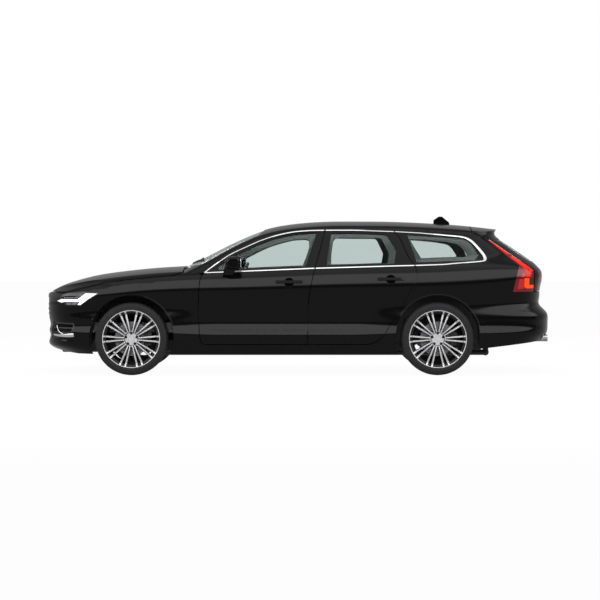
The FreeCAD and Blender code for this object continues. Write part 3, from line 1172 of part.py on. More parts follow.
radiator = box(RAIL_FRONT, RAIL_FRONT + RADIATOR_THICK, -RADIATOR_HALF - RAIL_HALF, 0, RADIATOR_LOW,
               RADIATOR_HIGH)
half_frame = rail.fuse([low_arm, low_end, low_pin, high_arm, high_end, high_pin, hanger, radiator,
                        strut(FRONT_AXLE, -STRUT_Y, low_top - PIN_PAST, high_low + PIN_PAST)])
save("front_subframe", one(half_frame.fuse(mirrored(half_frame)).removeSplitter()))

AXLE_RADIUS = 38.0
REAR_POST_Y = 430.0
AXLE_IN = 700.0
rear_half = hub_carrier(REAR_AXLE, AXLE_IN)
rear_half = rear_half.fuse(cylinder_y(REAR_AXLE, TYRE_RADIUS, AXLE_RADIUS, -AXLE_IN, 0))
rear_half = rear_half.fuse(strut(REAR_AXLE, -REAR_POST_Y, TYRE_RADIUS, LOAD_BOTTOM))
save("rear_axle", one(rear_half.fuse(mirrored(rear_half)).removeSplitter()))

# Engine and exhaust
ENGINE_FRONT = -2200.0
ENGINE_BACK = -1240.0
ENGINE_HALF = 290.0
ENGINE_LOW = 270.0
ENGINE_HIGH = 800.0
MOUNT_THICK = 40.0
MOUNT_HALF = 60.0
MOUNT_X = -1900.0
engine = box(ENGINE_FRONT, ENGINE_BACK, -ENGINE_HALF, ENGINE_HALF, ENGINE_LOW, ENGINE_HIGH)
engine = engine.fuse(box(MOUNT_X - MOUNT_HALF, MOUNT_X + MOUNT_HALF, -RAIL_Y, RAIL_Y, high_top,
                         high_top + MOUNT_THICK))
save("engine", one(engine))
PIPE_RADIUS = 28.0
PIPE_Z = 196.0
PIPE_Y = 250.0
MUFFLER_FROM = 1800.0
MUFFLER_TO = 2180.0
MUFFLER_ROUND = 34.0
TIP_ROUND = 20.0
MUFFLER_HALF = 520.0
MUFFLER_LOW = 290.0
PIPE_BEND_RADIUS = 33.0
pipe_start = ENGINE_BACK - 2 * PIPE_RADIUS
pipe_end = MUFFLER_FROM + 2 * PIPE_RADIUS
pipe = Part.makeCylinder(PIPE_RADIUS, pipe_end - pipe_start, V(pipe_start, -PIPE_Y, PIPE_Z), V(1, 0, 0))
down = cylinder_z(pipe_start, -PIPE_Y, PIPE_RADIUS, PIPE_Z, ENGINE_LOW)
rise = cylinder_z(pipe_end, -PIPE_Y, PIPE_RADIUS, PIPE_Z, MUFFLER_LOW)
bends = [Part.makeSphere(PIPE_BEND_RADIUS, V(x, -PIPE_Y, PIPE_Z)) for x in (pipe_start, pipe_end)]
muffler = rounded(box(MUFFLER_FROM, MUFFLER_TO, -MUFFLER_HALF, MUFFLER_HALF, MUFFLER_LOW, LOAD_BOTTOM),
                  MUFFLER_ROUND, V(0, 1, 0))
parts = [down, rise, muffler] + bends
for y in (-TIP_Y, TIP_Y):
    tip = box(MUFFLER_TO - MUFFLER_ROUND, TIP_END, y - TIP_HALF_WIDE, y + TIP_HALF_WIDE,
              TIP_Z - TIP_HALF_TALL, TIP_Z + TIP_HALF_TALL)
    wide_in, tall_in = TIP_HALF_WIDE - TIP_WALL, TIP_HALF_TALL - TIP_WALL
    hollow = box(MUFFLER_TO + TIP_HALF_WIDE, TIP_END + PAD, y - wide_in, y + wide_in, TIP_Z - tall_in,
                 TIP_Z + tall_in)
    parts.append(rounded(tip, TIP_ROUND, V(1, 0, 0)).cut(rounded(hollow, TIP_ROUND - TIP_WALL, V(1, 0, 0))))
exhaust = pipe.fuse(parts)
save("exhaust", one(exhaust))

# Inside
SEAT_Y = 370.0
SEAT_HALF = 250.0
REAR_SEAT_HALF = 610.0
FLOOR_SHARE = FLOOR_TOP / HEIGHT
LOAD_SHARE = LOAD_TOP / HEIGHT
KICK_SHARE = (KICK_X - FRONT) / LENGTH
FRONT_SEAT_SHARES = [(0.3865, FLOOR_SHARE), (0.3805, 0.2953), (0.3865, 0.3356), (0.4878, 0.3054),
    (0.5304, 0.6644), (0.5476, 0.6544), (0.5142, 0.2685), (0.5081, FLOOR_SHARE)]
FRONT_HEAD_SHARES = [(0.5334, 0.6443), (0.5375, 0.7852), (0.5517, 0.7819), (0.5436, 0.6443)]
HEAD_HALF = 130.0
REAR_SEAT_SHARES = [(0.5871, FLOOR_SHARE), (0.5810, 0.2886), (0.5871, 0.3356), (0.6722, 0.3020),
    (0.6996, 0.6711), (0.7178, 0.6644), (0.7178, LOAD_SHARE), (KICK_SHARE, LOAD_SHARE),
    (KICK_SHARE, FLOOR_SHARE)]
REAR_HEAD_SHARES = [(0.6996, 0.6577), (0.7026, 0.7584), (0.7158, 0.7584), (0.7147, 0.6577)]
REAR_HEAD_PITCH = 400.0


def slab(shares, y0, y1):
    place = [V(x, y0, z) for x, z in map(side_point, shares)]
    return Part.Face(Part.makePolygon(place + place[:1])).extrude(V(0, y1 - y0, 0))


front_seat = slab(FRONT_SEAT_SHARES, -SEAT_Y - SEAT_HALF, -SEAT_Y + SEAT_HALF).fuse(
    slab(FRONT_HEAD_SHARES, -SEAT_Y - HEAD_HALF, -SEAT_Y + HEAD_HALF))
save("front_seats", pair(one(front_seat)))
rear_seat = slab(REAR_SEAT_SHARES, -REAR_SEAT_HALF, REAR_SEAT_HALF)
for y in (-REAR_HEAD_PITCH, 0, REAR_HEAD_PITCH):
    rear_seat = rear_seat.fuse(slab(REAR_HEAD_SHARES, y - HEAD_HALF, y + HEAD_HALF))
save("rear_seat", one(rear_seat))

DASH_SHARES = [(0.2771, 0.4295), (0.2771, 0.6107), (0.2974, 0.6376), (0.3278, 0.6409),
    (0.3501, 0.6040), (0.3460, 0.5101), (0.3258, 0.4295)]
HOOD_SHARES = [(0.3116, 0.6242), (0.3177, 0.6711), (0.3298, 0.6832), (0.3470, 0.6644),
    (0.3501, 0.6409), (0.3450, 0.5973)]
CONSOLE_SHARES = [(0.2974, FLOOR_SHARE), (0.2974, 0.4430), (0.3237, 0.4430), (0.3400, 0.3859),
    (0.3703, 0.3557), (0.4696, 0.3389), (0.5122, 0.3356), (0.5223, 0.3154), (0.5223, FLOOR_SHARE)]
HOOD_HALF = 165.0
CONSOLE_HALF = 85.0
DASH_HALF = 760.0
STEER_X = -560.0
STEER_Z = 900.0
WHEEL_RADIUS = 185.0
WHEEL_RIM = 15.0
WHEEL_TILT = 22.0
COLUMN_RADIUS = 30.0
COLUMN_LONG = 200.0
WHEEL_HUB_RADIUS = 62.0
WHEEL_HUB_THICK = 50.0
SPOKE_HALF = 16.0
dash = slab(DASH_SHARES, -DASH_HALF, DASH_HALF)
shelf_room = box(-LENGTH, COWL_FRONT + COWL_SHELF + SEAT, -wide, wide,
                 BELT_REF - ROOF_THICK - COWL_SHELF - SEAT, HEIGHT)
wall_room = box(-LENGTH, COWL_X + BULKHEAD_THICK + SEAT, -wide, wide, 0, HEIGHT)
dash = dash.common(cabin_layer(WALL_LOW + SEAT, WALL_HIGH + SEAT, WALL_TAIL, ROOF_THICK)).cut(shelf_room)
dash = dash.cut(wall_room)
dash = dash.fuse([slab(HOOD_SHARES, -SEAT_Y - HOOD_HALF, -SEAT_Y + HOOD_HALF),
                  slab(CONSOLE_SHARES, -CONSOLE_HALF, CONSOLE_HALF)])
save("dashboard", one(dash))
cx, cy, cz = STEER_X, -SEAT_Y, STEER_Z
ring_shape = Part.makeTorus(WHEEL_RADIUS, WHEEL_RIM, V(cx, cy, cz), V(1, 0, 0))
hub_part = Part.makeCylinder(WHEEL_HUB_RADIUS, WHEEL_HUB_THICK, V(cx - WHEEL_HUB_THICK, cy, cz), V(1, 0, 0))
column_long = COLUMN_LONG + WHEEL_RADIUS
column_from = V(cx - WHEEL_HUB_THICK - column_long, cy, cz)
column = Part.makeCylinder(COLUMN_RADIUS, column_long, column_from, V(1, 0, 0))
bars = [box(cx - SPOKE_HALF, cx, cy - WHEEL_RADIUS, cy + WHEEL_RADIUS, cz - SPOKE_HALF, cz + SPOKE_HALF),
        box(cx - SPOKE_HALF, cx, cy - SPOKE_HALF, cy + SPOKE_HALF, cz - WHEEL_RADIUS, cz)]
steering_wheel = ring_shape.fuse([hub_part, column] + bars)
steering_wheel = steering_wheel.rotate(V(cx, cy, cz), V(0, 1, 0), WHEEL_TILT).cut(dash)
save("steering_wheel", one(steering_wheel))
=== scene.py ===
import bpy
import bmesh
import json
import math
import numpy as np
from mathutils import Matrix, Vector


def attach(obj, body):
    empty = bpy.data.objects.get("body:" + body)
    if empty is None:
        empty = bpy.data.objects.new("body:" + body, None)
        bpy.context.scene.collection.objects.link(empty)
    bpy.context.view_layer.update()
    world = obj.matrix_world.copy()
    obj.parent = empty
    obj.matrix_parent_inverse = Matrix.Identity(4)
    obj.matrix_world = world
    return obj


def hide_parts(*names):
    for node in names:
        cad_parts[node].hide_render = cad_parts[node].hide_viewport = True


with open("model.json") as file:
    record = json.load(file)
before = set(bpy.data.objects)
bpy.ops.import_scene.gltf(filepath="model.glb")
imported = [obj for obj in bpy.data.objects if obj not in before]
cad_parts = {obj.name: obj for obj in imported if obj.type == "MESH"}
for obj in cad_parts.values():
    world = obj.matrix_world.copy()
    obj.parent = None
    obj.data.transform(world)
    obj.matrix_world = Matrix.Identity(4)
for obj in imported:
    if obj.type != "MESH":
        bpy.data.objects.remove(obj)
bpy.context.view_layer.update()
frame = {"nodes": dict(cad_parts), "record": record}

nodes = frame["nodes"]
bpy.ops.object.select_all(action="DESELECT")

# driving sizes, in metres, as in the CAD
LENGTH, WIDTH, HEIGHT = 4.936, 1.880, 1.490
FRONT = -LENGTH / 2
FRONT_AXLE, REAR_AXLE, WHEEL_Y, WHEEL_Z = -1.596, 1.345, 0.814, 0.350
SIDES = (("left", -1), ("right", 1))

# the body's surface
CABIN_LINE = [
    (0.2834, 0.7134), (0.2994, 0.7389), (0.3316, 0.7940), (0.3639, 0.8483), (0.3961, 0.8973),
    (0.4283, 0.9389), (0.4605, 0.9664), (0.4925, 0.9826), (0.5247, 0.9926), (0.5608, 0.9987),
    (0.6135, 1.0000), (0.6823, 0.9980), (0.7340, 0.9919), (0.7836, 0.9832), (0.8306, 0.9718),
    (0.8949, 0.9483), (1.0000, 0.9060)]
BONNET_LINE = [
    (-0.0004, 0.5168), (0.0097, 0.5396), (0.0259, 0.5705), (0.0581, 0.6087), (0.0902, 0.6369),
    (0.1386, 0.6631), (0.2028, 0.6866), (0.2508, 0.6980), (0.2771, 0.7027)]
BELT = [
    (0.0000, 0.5302), (0.0543, 0.5671), (0.1151, 0.6074), (0.1961, 0.6409), (0.2771, 0.6597),
    (0.3321, 0.6658), (0.4309, 0.6758), (0.5338, 0.6913), (0.6793, 0.7047), (0.7840, 0.7168),
    (0.8462, 0.7302), (1.0000, 0.7584)]
HAUNCH = [
    (0.0000, 0.0638), (0.2771, 0.0638), (0.3582, 0.0298), (0.4392, 0.0043), (0.5203, 0.0),
    (0.6418, 0.0021), (0.7431, 0.0234), (0.8647, 0.0660), (1.0000, 0.1170)]
INSET = [
    (0.1007, 0.0904), (0.1342, 0.0585), (0.2013, 0.0213), (0.2685, 0.0021), (0.3087, 0.0213),
    (0.3758, 0.0255), (0.4698, 0.0128), (0.5503, 0.0021), (0.6040, 0.0096), (0.6443, 0.0319),
    (0.6711, 0.0617), (0.6980, 0.0830), (0.7383, 0.1149), (0.8054, 0.1702), (0.8725, 0.2298),
    (0.9295, 0.2851), (0.9732, 0.3319), (1.0738, 0.4468)]
NOSE = [
    (0.1007, 0.0361), (0.1409, 0.0280), (0.1678, 0.0118), (0.1913, 0.0018), (0.2148, 0.0014),
    (0.2389, 0.0053), (0.2685, 0.0026), (0.3128, 0.0036), (0.3624, 0.0008), (0.4866, 0.0000),
    (0.5114, 0.0006), (0.5362, 0.0034), (0.5611, 0.0138), (0.6040, 0.0280), (1.0738, 0.0280)]
TAIL = [
    (0.1007, 0.0280), (0.1678, 0.0199), (0.2242, 0.0107), (0.2490, 0.0047), (0.2752, 0.0012),
    (0.3221, 0.0000), (0.3758, 0.0000), (0.4000, 0.0026), (0.4248, 0.0109), (0.4497, 0.0168),
    (0.4993, 0.0170), (0.5490, 0.0162), (0.5738, 0.0150), (0.5987, 0.0130), (0.6483, 0.0120),
    (0.6732, 0.0138), (0.6980, 0.0199), (0.7221, 0.0271), (0.7718, 0.0462), (0.8215, 0.0687),
    (0.8711, 0.0918), (0.8960, 0.1035), (0.9396, 0.1019), (1.0738, 0.1019)]
CORNER_START, NOSE_POWER, TAIL_POWER = 1.400, 3.1, 3.6
BELT_REF, LOWER_REF, HAUNCH_FROM, HAUNCH_RISE = 1.000, 0.500, 0.930, 0.140
CROWN_BONNET, CROWN_ROOF, CROWN_SCREEN, CROWN_POWER = 0.062, 0.062, 0.022, 2.4
ROUND_BONNET, ROUND_ROOF, ROUND_SHARE, EASE_SHARE, EDGE_DROP = 0.030, 0.034, 0.90, 0.80, 0.070
SCREEN_FROM, SCREEN_RUN = -0.300, 0.700
HOLLOW_FROM, HOLLOW_TO, HOLLOW_RUN = -1.250, 1.000, 0.500
HOLLOW_Z, HOLLOW_HALF, FLARE_OUT = 0.510, 0.170, 0.017


class Line:
    """natural cubic spline through a table, straight beyond its ends"""

    def __init__(self, table, scale_t, scale_v, start=0.0):
        self.t = np.array([start + a * scale_t for a, _ in table])
        self.y = np.array([b * scale_v for _, b in table])
        n, h = len(table), np.diff(self.t)
        rise = np.diff(self.y) / h
        grid, right = np.eye(n), np.zeros(n)
        for i in range(1, n - 1):
            grid[i, i - 1:i + 2] = h[i - 1], 2 * (h[i - 1] + h[i]), h[i]
            right[i] = 6 * (rise[i] - rise[i - 1])
        self.m, self.h = np.linalg.solve(grid, right), h

    def __call__(self, x):
        x = np.asarray(x, float)
        i = np.clip(np.searchsorted(self.t, x) - 1, 0, len(self.h) - 1)
        inside = np.clip(x, self.t[0], self.t[-1])
        h = self.h[i]
        q = (inside - self.t[i]) / h
        p = 1 - q
        value = p * self.y[i] + q * self.y[i + 1] + (
            (p ** 3 - p) * self.m[i] + (q ** 3 - q) * self.m[i + 1]) * h ** 2 / 6
        slope = (self.y[i + 1] - self.y[i]) / h + h / 6 * (
            (1 - 3 * p ** 2) * self.m[i] + (3 * q ** 2 - 1) * self.m[i + 1])
        return value + slope * (x - inside)


cabin_line = Line(CABIN_LINE, LENGTH, HEIGHT, FRONT)
bonnet_line = Line(BONNET_LINE, LENGTH, HEIGHT, FRONT)
belt_line = Line(BELT, LENGTH, HEIGHT, FRONT)
haunch_line = Line(HAUNCH, LENGTH, WIDTH / 2, FRONT)
inset_line = Line(INSET, HEIGHT, WIDTH / 2)
nose_line, tail_line = Line(NOSE, HEIGHT, LENGTH), Line(TAIL, HEIGHT, LENGTH)


def smooth(t):
    """0 to 1 with level ends"""
    t = np.clip(t, 0, 1)
    return t * t * (3 - 2 * t)


def half_width(x, z):
    """half width without the corners; heights count from the belt line down to LOWER_REF"""
    belt = belt_line(x)
    squeezed = LOWER_REF + (z - LOWER_REF) * (BELT_REF - LOWER_REF) / (belt - LOWER_REF)
    level = np.where(z > belt, BELT_REF + z - belt, np.where(z > LOWER_REF, squeezed, z))
    hollow = smooth((x - HOLLOW_FROM) / HOLLOW_RUN) * smooth((HOLLOW_TO - x) / HOLLOW_RUN)
    flare = FLARE_OUT * (1 - hollow) * smooth(1 - np.abs(level - HOLLOW_Z) / HOLLOW_HALF)
    haunch = haunch_line(x) * smooth((level - HAUNCH_FROM) / HAUNCH_RISE)
    return WIDTH / 2 - inset_line(level) - haunch + flare


def corners(x, z, most):
    """how far a place lies into the roundings of the nose and of the tail"""
    nose, tail = FRONT + nose_line(z), -FRONT - tail_line(z)
    front = np.clip((-CORNER_START - x) / (-CORNER_START - nose), 0, most)
    back = np.clip((x - CORNER_START) / (tail - CORNER_START), 0, most)
    return front, back


def side_y(x, z):
    """half width of the finished body, its nose and tail corners included"""
    front, back = corners(x, z, 1)
    return half_width(x, z) * (1 - front ** NOSE_POWER) ** (1 / NOSE_POWER) * (
        1 - back ** TAIL_POWER) ** (1 / TAIL_POWER)


def wrap_field(x, y, z):
    """zero on the car's sides, nose and tail, growing outwards"""
    front, back = corners(x, z, None)
    half = half_width(x, z)
    power = np.where(x > 0, TAIL_POWER, NOSE_POWER)
    sides = (np.abs(y) / half) ** power
    return (front ** NOSE_POWER + back ** TAIL_POWER + sides) ** (1 / power) - 1


def top_height(x, y, front):
    """height of the bonnet (front) or of the windscreen and roof"""
    line = bonnet_line if front else cabin_line
    edge = half_width(x, belt_line(x) if front else cabin_line(x) - EDGE_DROP)
    r = np.abs(y) / edge
    screen = smooth((SCREEN_FROM - x) / SCREEN_RUN)
    crown = CROWN_BONNET if front else CROWN_ROOF + CROWN_SCREEN * screen
    rounding = ROUND_BONNET if front else ROUND_ROOF
    past = np.clip(r - 1, 0, None)
    fall = crown * r ** CROWN_POWER
    fall += rounding * (np.clip(r - past - ROUND_SHARE, 0, None) / (1 - ROUND_SHARE)) ** 2
    fall += rounding * past * EASE_SHARE / (1 - ROUND_SHARE)
    return line(x) - fall


def top_field(front):
    """zero on the bonnet (front) or on the windscreen and roof, growing upwards"""
    return lambda x, y, z: z - top_height(x, y, front)


def gradient(field, p, step=0.002):
    """(distance from zero, unit gradient) of a field at points p"""
    value = field(*p.T)
    grad = np.empty_like(p)
    for k in range(3):
        shift = np.zeros(3)
        shift[k] = step
        grad[:, k] = (field(*(p + shift).T) - field(*(p - shift).T)) / (2 * step)
    size = np.linalg.norm(grad, axis=1)
    size[size == 0] = 1
    return value / size, grad / size[:, None]


# materials
NOISE_DETAIL, BUMP_HEIGHT = 4.0, 0.001


def noise_in(tree, scale):
    """procedural noise in the piece's own coordinates"""
    noise = tree.nodes.new("ShaderNodeTexNoise")
    noise.inputs["Scale"].default_value = scale
    place = tree.nodes.new("ShaderNodeTexCoord")
    tree.links.new(place.outputs["Object"], noise.inputs["Vector"])
    return noise


def make_material(name, color, rough, uneven, metal=0.0, bump=None, **more):
    """uneven: (scale, lowest, highest) of the roughness; bump: (scale, strength)"""
    material = bpy.data.materials.new(name)
    material.use_nodes = True
    tree = material.node_tree
    shader = tree.nodes["Principled BSDF"]
    shader.inputs["Base Color"].default_value = (*color, 1)
    shader.inputs["Roughness"].default_value = rough
    shader.inputs["Metallic"].default_value = metal
    for key, value in more.items():
        shader.inputs[key.replace("_", " ")].default_value = value
    scale, low, high = uneven
    noise = noise_in(tree, scale)
    noise.inputs["Detail"].default_value = NOISE_DETAIL
    spread = tree.nodes.new("ShaderNodeMapRange")
    spread.inputs["To Min"].default_value = low
    spread.inputs["To Max"].default_value = high
    tree.links.new(noise.outputs["Fac"], spread.inputs["Value"])
    tree.links.new(spread.outputs["Result"], shader.inputs["Roughness"])
    if bump:
        scale, strength = bump
        raised = tree.nodes.new("ShaderNodeBump")
        raised.inputs["Strength"].default_value = strength
        raised.inputs["Distance"].default_value = BUMP_HEIGHT
        tree.links.new(noise_in(tree, scale).outputs["Fac"], raised.inputs["Height"])
        tree.links.new(raised.outputs["Normal"], shader.inputs["Normal"])
    return material


paint = make_material("black_paint", (0.0025, 0.0025, 0.0028), 0.10, (40, 0.08, 0.12),
                      Specular_IOR_Level=0.20)
chrome = make_material("bright_trim", (0.86, 0.87, 0.88), 0.16, (60, 0.13, 0.19), 1.0)
mirror = make_material("mirror_glass", (0.75, 0.77, 0.80), 0.02, (30, 0.01, 0.03), 1.0)
glass = make_material("window_glass", (0.70, 0.76, 0.745), 0.0, (30, 0.0, 0.01),
                      Transmission_Weight=1.0, IOR=1.12)
border = make_material("glass_border", (0.045, 0.056, 0.053), 0.12, (30, 0.10, 0.14),
                       Specular_IOR_Level=0.3)
dark_steel = make_material("dark_steel", (0.03, 0.03, 0.031), 0.5, (90, 0.42, 0.58), 0.4)
black_plastic = make_material("black_plastic", (0.014, 0.014, 0.015), 0.55, (80, 0.5, 0.62),
                              bump=(600, 0.25))
rubber = make_material("tyre_rubber", (0.012, 0.012, 0.013), 0.75, (60, 0.68, 0.82),
                       bump=(500, 0.3), Specular_IOR_Level=0.3)
alloy = make_material("machined_alloy", (0.55, 0.55, 0.56), 0.38, (90, 0.34, 0.42), 0.6)
# near-black finish of the rim's spoke sides, pockets and barrel: partly the wheel's dark paint,
# partly painted shade in the pockets between the spokes
pocket_paint_and_shade = make_material("dark_pocket", (0.008, 0.008, 0.009), 0.45, (90, 0.4, 0.5),
                       Specular_IOR_Level=0.2)
steel = make_material("worn_steel", (0.22, 0.22, 0.23), 0.42, (120, 0.36, 0.48), 0.8)
cast = make_material("cast_iron", (0.05, 0.05, 0.052), 0.6, (90, 0.5, 0.7), 0.5, (300, 0.3))
lens = make_material("lamp_lens", (0.012, 0.012, 0.013), 0.08, (30, 0.06, 0.10))
red_lens = make_material("red_lens", (0.16, 0.004, 0.007), 0.10, (30, 0.08, 0.12))
white_light = make_material("white_light", (0.92, 0.93, 0.95), 0.2, (30, 0.18, 0.24),
                            Emission_Strength=0.45, Emission_Color=(1, 1, 1, 1))
reflector = make_material("lamp_reflector", (0.16, 0.16, 0.17), 0.35, (200, 0.3, 0.45))
bright_red = make_material("bright_red", (0.62, 0.012, 0.008), 0.2, (30, 0.12, 0.18),
                           Emission_Strength=0.22, Emission_Color=(1.0, 0.035, 0.015, 1),
                           Specular_IOR_Level=0.2)
orange_red = make_material("orange_red", (0.85, 0.06, 0.005), 0.2, (30, 0.12, 0.18),
                           Emission_Strength=0.30, Emission_Color=(1.0, 0.11, 0.005, 1),
                           Specular_IOR_Level=0.2)
middle_red = make_material("middle_red", (0.50, 0.010, 0.015), 0.12, (30, 0.10, 0.14))
dark_red = make_material("dark_red", (0.04, 0.001, 0.003), 0.10, (30, 0.08, 0.12))
headliner = make_material("headliner_cloth", (0.46, 0.45, 0.43), 0.95, (300, 0.9, 1.0),
                          bump=(900, 0.3))
lining = make_material("door_lining", (0.030, 0.029, 0.028), 0.6, (70, 0.52, 0.66),
                       bump=(420, 0.4))
# painted shade on the door handle bars: the black paint's colour with a weaker reflection, so the
# bars read darker than the panels
handle_shade = make_material("black_grip", (0.0020, 0.0020, 0.0022), 0.12, (40, 0.10, 0.14),
                     Specular_IOR_Level=0.07)
brushed = make_material("brushed_tip", (0.42, 0.42, 0.43), 0.30, (120, 0.24, 0.36), 1.0)
leather = make_material("seat_leather", (0.022, 0.021, 0.020), 0.48, (70, 0.42, 0.55),
                        bump=(420, 0.4))
carpet = make_material("floor_carpet", (0.018, 0.018, 0.019), 0.95, (200, 0.9, 1.0),
                       bump=(900, 0.6))

FINISH = {
    "paint": paint, "glass": glass, "lamp_clear": lens, "lamp_red": red_lens,
    "tyre": rubber, "rim": alloy, "steel": steel, "cast": cast,
    "black_plastic": black_plastic, "grille_black": black_plastic,
    "leather": leather, "carpet": carpet}
slot_of = {s["node"]: s["material_slot"] for s in frame["record"]["subparts"]}
body_of = {n: b for b, names in frame["record"]["behaviour"]["bodies"].items() for n in names}
for name, node in nodes.items():
    node.data.materials.clear()
    node.data.materials.append(FINISH[slot_of[name]])


# making pieces
def add_piece(name, mesh, material, body, node=None):
    """finish a mesh as a piece that rides on a body"""
    piece = bpy.data.objects.new(name, mesh)
    bpy.context.scene.collection.objects.link(piece)
    if not mesh.materials:
        mesh.materials.append(material)
    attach(piece, body)
    if node:
        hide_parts(node)
    return piece


MERGE_CAD, LONGEST_EDGE, SPLIT_ROUNDS = 1e-5, 0.06, 7
ON_SURFACE, FACES_OUT, CREASE = 0.0016, 0.88, 0.85    # a distance and two cosines


def merged(name):
    """a node's mesh, opened for work, with its loose triangles merged"""
    work = bmesh.new()
    work.from_mesh(nodes[name].data)
    bmesh.ops.remove_doubles(work, verts=work.verts, dist=MERGE_CAD)
    return work


def fine_copy(name):
    """a node's mesh with its long edges split, so that its shading follows the curve"""
    work = merged(name)
    for _ in range(SPLIT_ROUNDS):
        long_edges = [e for e in work.edges if e.calc_length() > LONGEST_EDGE]
        if not long_edges:
            break
        bmesh.ops.subdivide_edges(work, edges=long_edges, cuts=1)
        bmesh.ops.triangulate(work, faces=[f for f in work.faces if len(f.verts) > 3])
    mesh = bpy.data.meshes.new(name + "_skin")
    work.to_mesh(mesh)
    work.free()
    return mesh


def rows_of(items, key):
    """a vector attribute of all vertices or faces, in rows"""
    values = np.empty(len(items) * 3)
    items.foreach_get(key, values)
    return values.reshape(-1, 3)


def polish(mesh, front):
    """corner normals: exact where a face lies on the body's surface, else averaged"""
    p = rows_of(mesh.vertices, "co")
    surfaces = gradient(wrap_field, p), gradient(top_field(front), p)
    mesh.polygons.foreach_set("use_smooth", np.ones(len(mesh.polygons), bool))
    face_normal = rows_of(mesh.polygons, "normal")
    loops = np.empty(len(mesh.loops), int)
    mesh.loops.foreach_get("vertex_index", loops)
    owner = np.repeat(np.arange(len(mesh.polygons)), [len(f.vertices) for f in mesh.polygons])
    normal = face_normal[owner].copy()
    best = np.zeros(len(loops))
    for away, direction in surfaces:
        whole = np.ones(len(mesh.polygons), bool)
        np.logical_and.at(whole, owner, (np.abs(away) < ON_SURFACE)[loops])
        match = np.einsum("ij,ij->i", face_normal[owner], direction[loops])
        use = whole[owner] & (match > FACES_OUT) & (match > best)
        normal[use] = direction[loops][use]
        best[use] = match[use]
    # corners off the surface, taken together where they share a vertex
    area = np.array([f.area for f in mesh.polygons])
    rest = np.nonzero(best == 0)[0]
    rest = rest[np.argsort(loops[rest], kind="stable")]
    _, start, size = np.unique(loops[rest], return_index=True, return_counts=True)
    for count in np.unique(size):
        group = rest[start[size == count][:, None] + np.arange(count)]
        way = face_normal[owner[group]]
        near = np.einsum("gik,gjk->gij", way, way) > CREASE
        total = np.einsum("gij,gj,gjk->gik", near, area[owner[group]], way)
        length = np.linalg.norm(total, axis=2, keepdims=True)
        normal[group] = np.where(length > 0, total / np.where(length > 0, length, 1), way)
    mesh.normals_split_custom_set([tuple(n) for n in normal])


# body panels
PANELS_FRONT = ["bonnet", "front_wings", "front_bumper"]
PANELS = ["body_side_left", "body_side_right", "roof_panel", "rear_bumper", "tailgate_panel"] + [
    "door_%s_%s_panel" % (a, b) for a in ("front", "rear") for b, _ in SIDES]
LINED_BELOW, LINING_Z, PROUD = -0.032, 1.000, 0.004
LOOKS_IN, HANDLES_WITHIN = -0.5, 1.0


def line_inside(mesh):
    """cloth and lining on faces that look into the cabin; on the door handles the black paint with
    a weaker reflection, as painted shade
    """
    centre, facing = rows_of(mesh.polygons, "center"), rows_of(mesh.polygons, "normal")
    side_away, side_way = gradient(wrap_field, centre)
    top_away, top_way = gradient(top_field(False), centre)
    deep = (side_away < LINED_BELOW) & (top_away < LINED_BELOW)
    outward = np.minimum(np.einsum("ij,ij->i", facing, side_way),
                         np.einsum("ij,ij->i", facing, top_way))
    cloth_or_lining = np.where(centre[:, 2] > LINING_Z, 1, 2)
    finish = np.where(deep & (outward < LOOKS_IN), cloth_or_lining, 0)
    # the proud faces of the door handles get the weaker-reflecting paint, as painted shade
    finish[(side_away > PROUD) & (np.abs(centre[:, 0]) < HANDLES_WITHIN)] = 3
    mesh.polygons.foreach_set("material_index", finish.astype(np.int32))
    for material in (paint, headliner, lining, handle_shade):
        mesh.materials.append(material)


for name in PANELS_FRONT + PANELS:
    skin = fine_copy(name)
    polish(skin, name in PANELS_FRONT)
    if name in PANELS:
        line_inside(skin)
    add_piece(name + "_skin", skin, paint, body_of[name], name)


# laying pieces on the skin
HALVINGS, FINE_STEPS, MERGE, ROUNDED = 30, 24, 1e-6, 50


def skin_points(x, z, out, left, front=False):
    """(points, ways out) over the car's flank or roof edge at places seen from the side"""
    y = side_y(x, z)
    on_top = top_height(x, y, front) < z
    low, high = np.zeros_like(y), y
    for _ in range(HALVINGS):
        middle = (low + high) / 2
        above = top_height(x, middle, front) > z
        low, high = np.where(above, middle, low), np.where(above, high, middle)
    p = np.column_stack([x, np.where(on_top, low, y), z])
    way = np.where(on_top[:, None], gradient(top_field(front), p)[1], gradient(wrap_field, p)[1])
    flip = np.array([1, -1 if left else 1, 1])
    return (p + way * out) * flip, way * flip


def finish_mesh(work, name, sharp=30):
    """doubles merged, faces outwards, smooth below an angle"""
    bmesh.ops.remove_doubles(work, verts=work.verts, dist=MERGE)
    bmesh.ops.recalc_face_normals(work, faces=work.faces)
    for face in work.faces:
        face.smooth = True
    for edge in work.edges:
        edge.smooth = len(edge.link_faces) == 2 and edge.calc_face_angle(0) < math.radians(sharp)
    mesh = bpy.data.meshes.new(name)
    work.to_mesh(mesh)
    work.free()
    return mesh


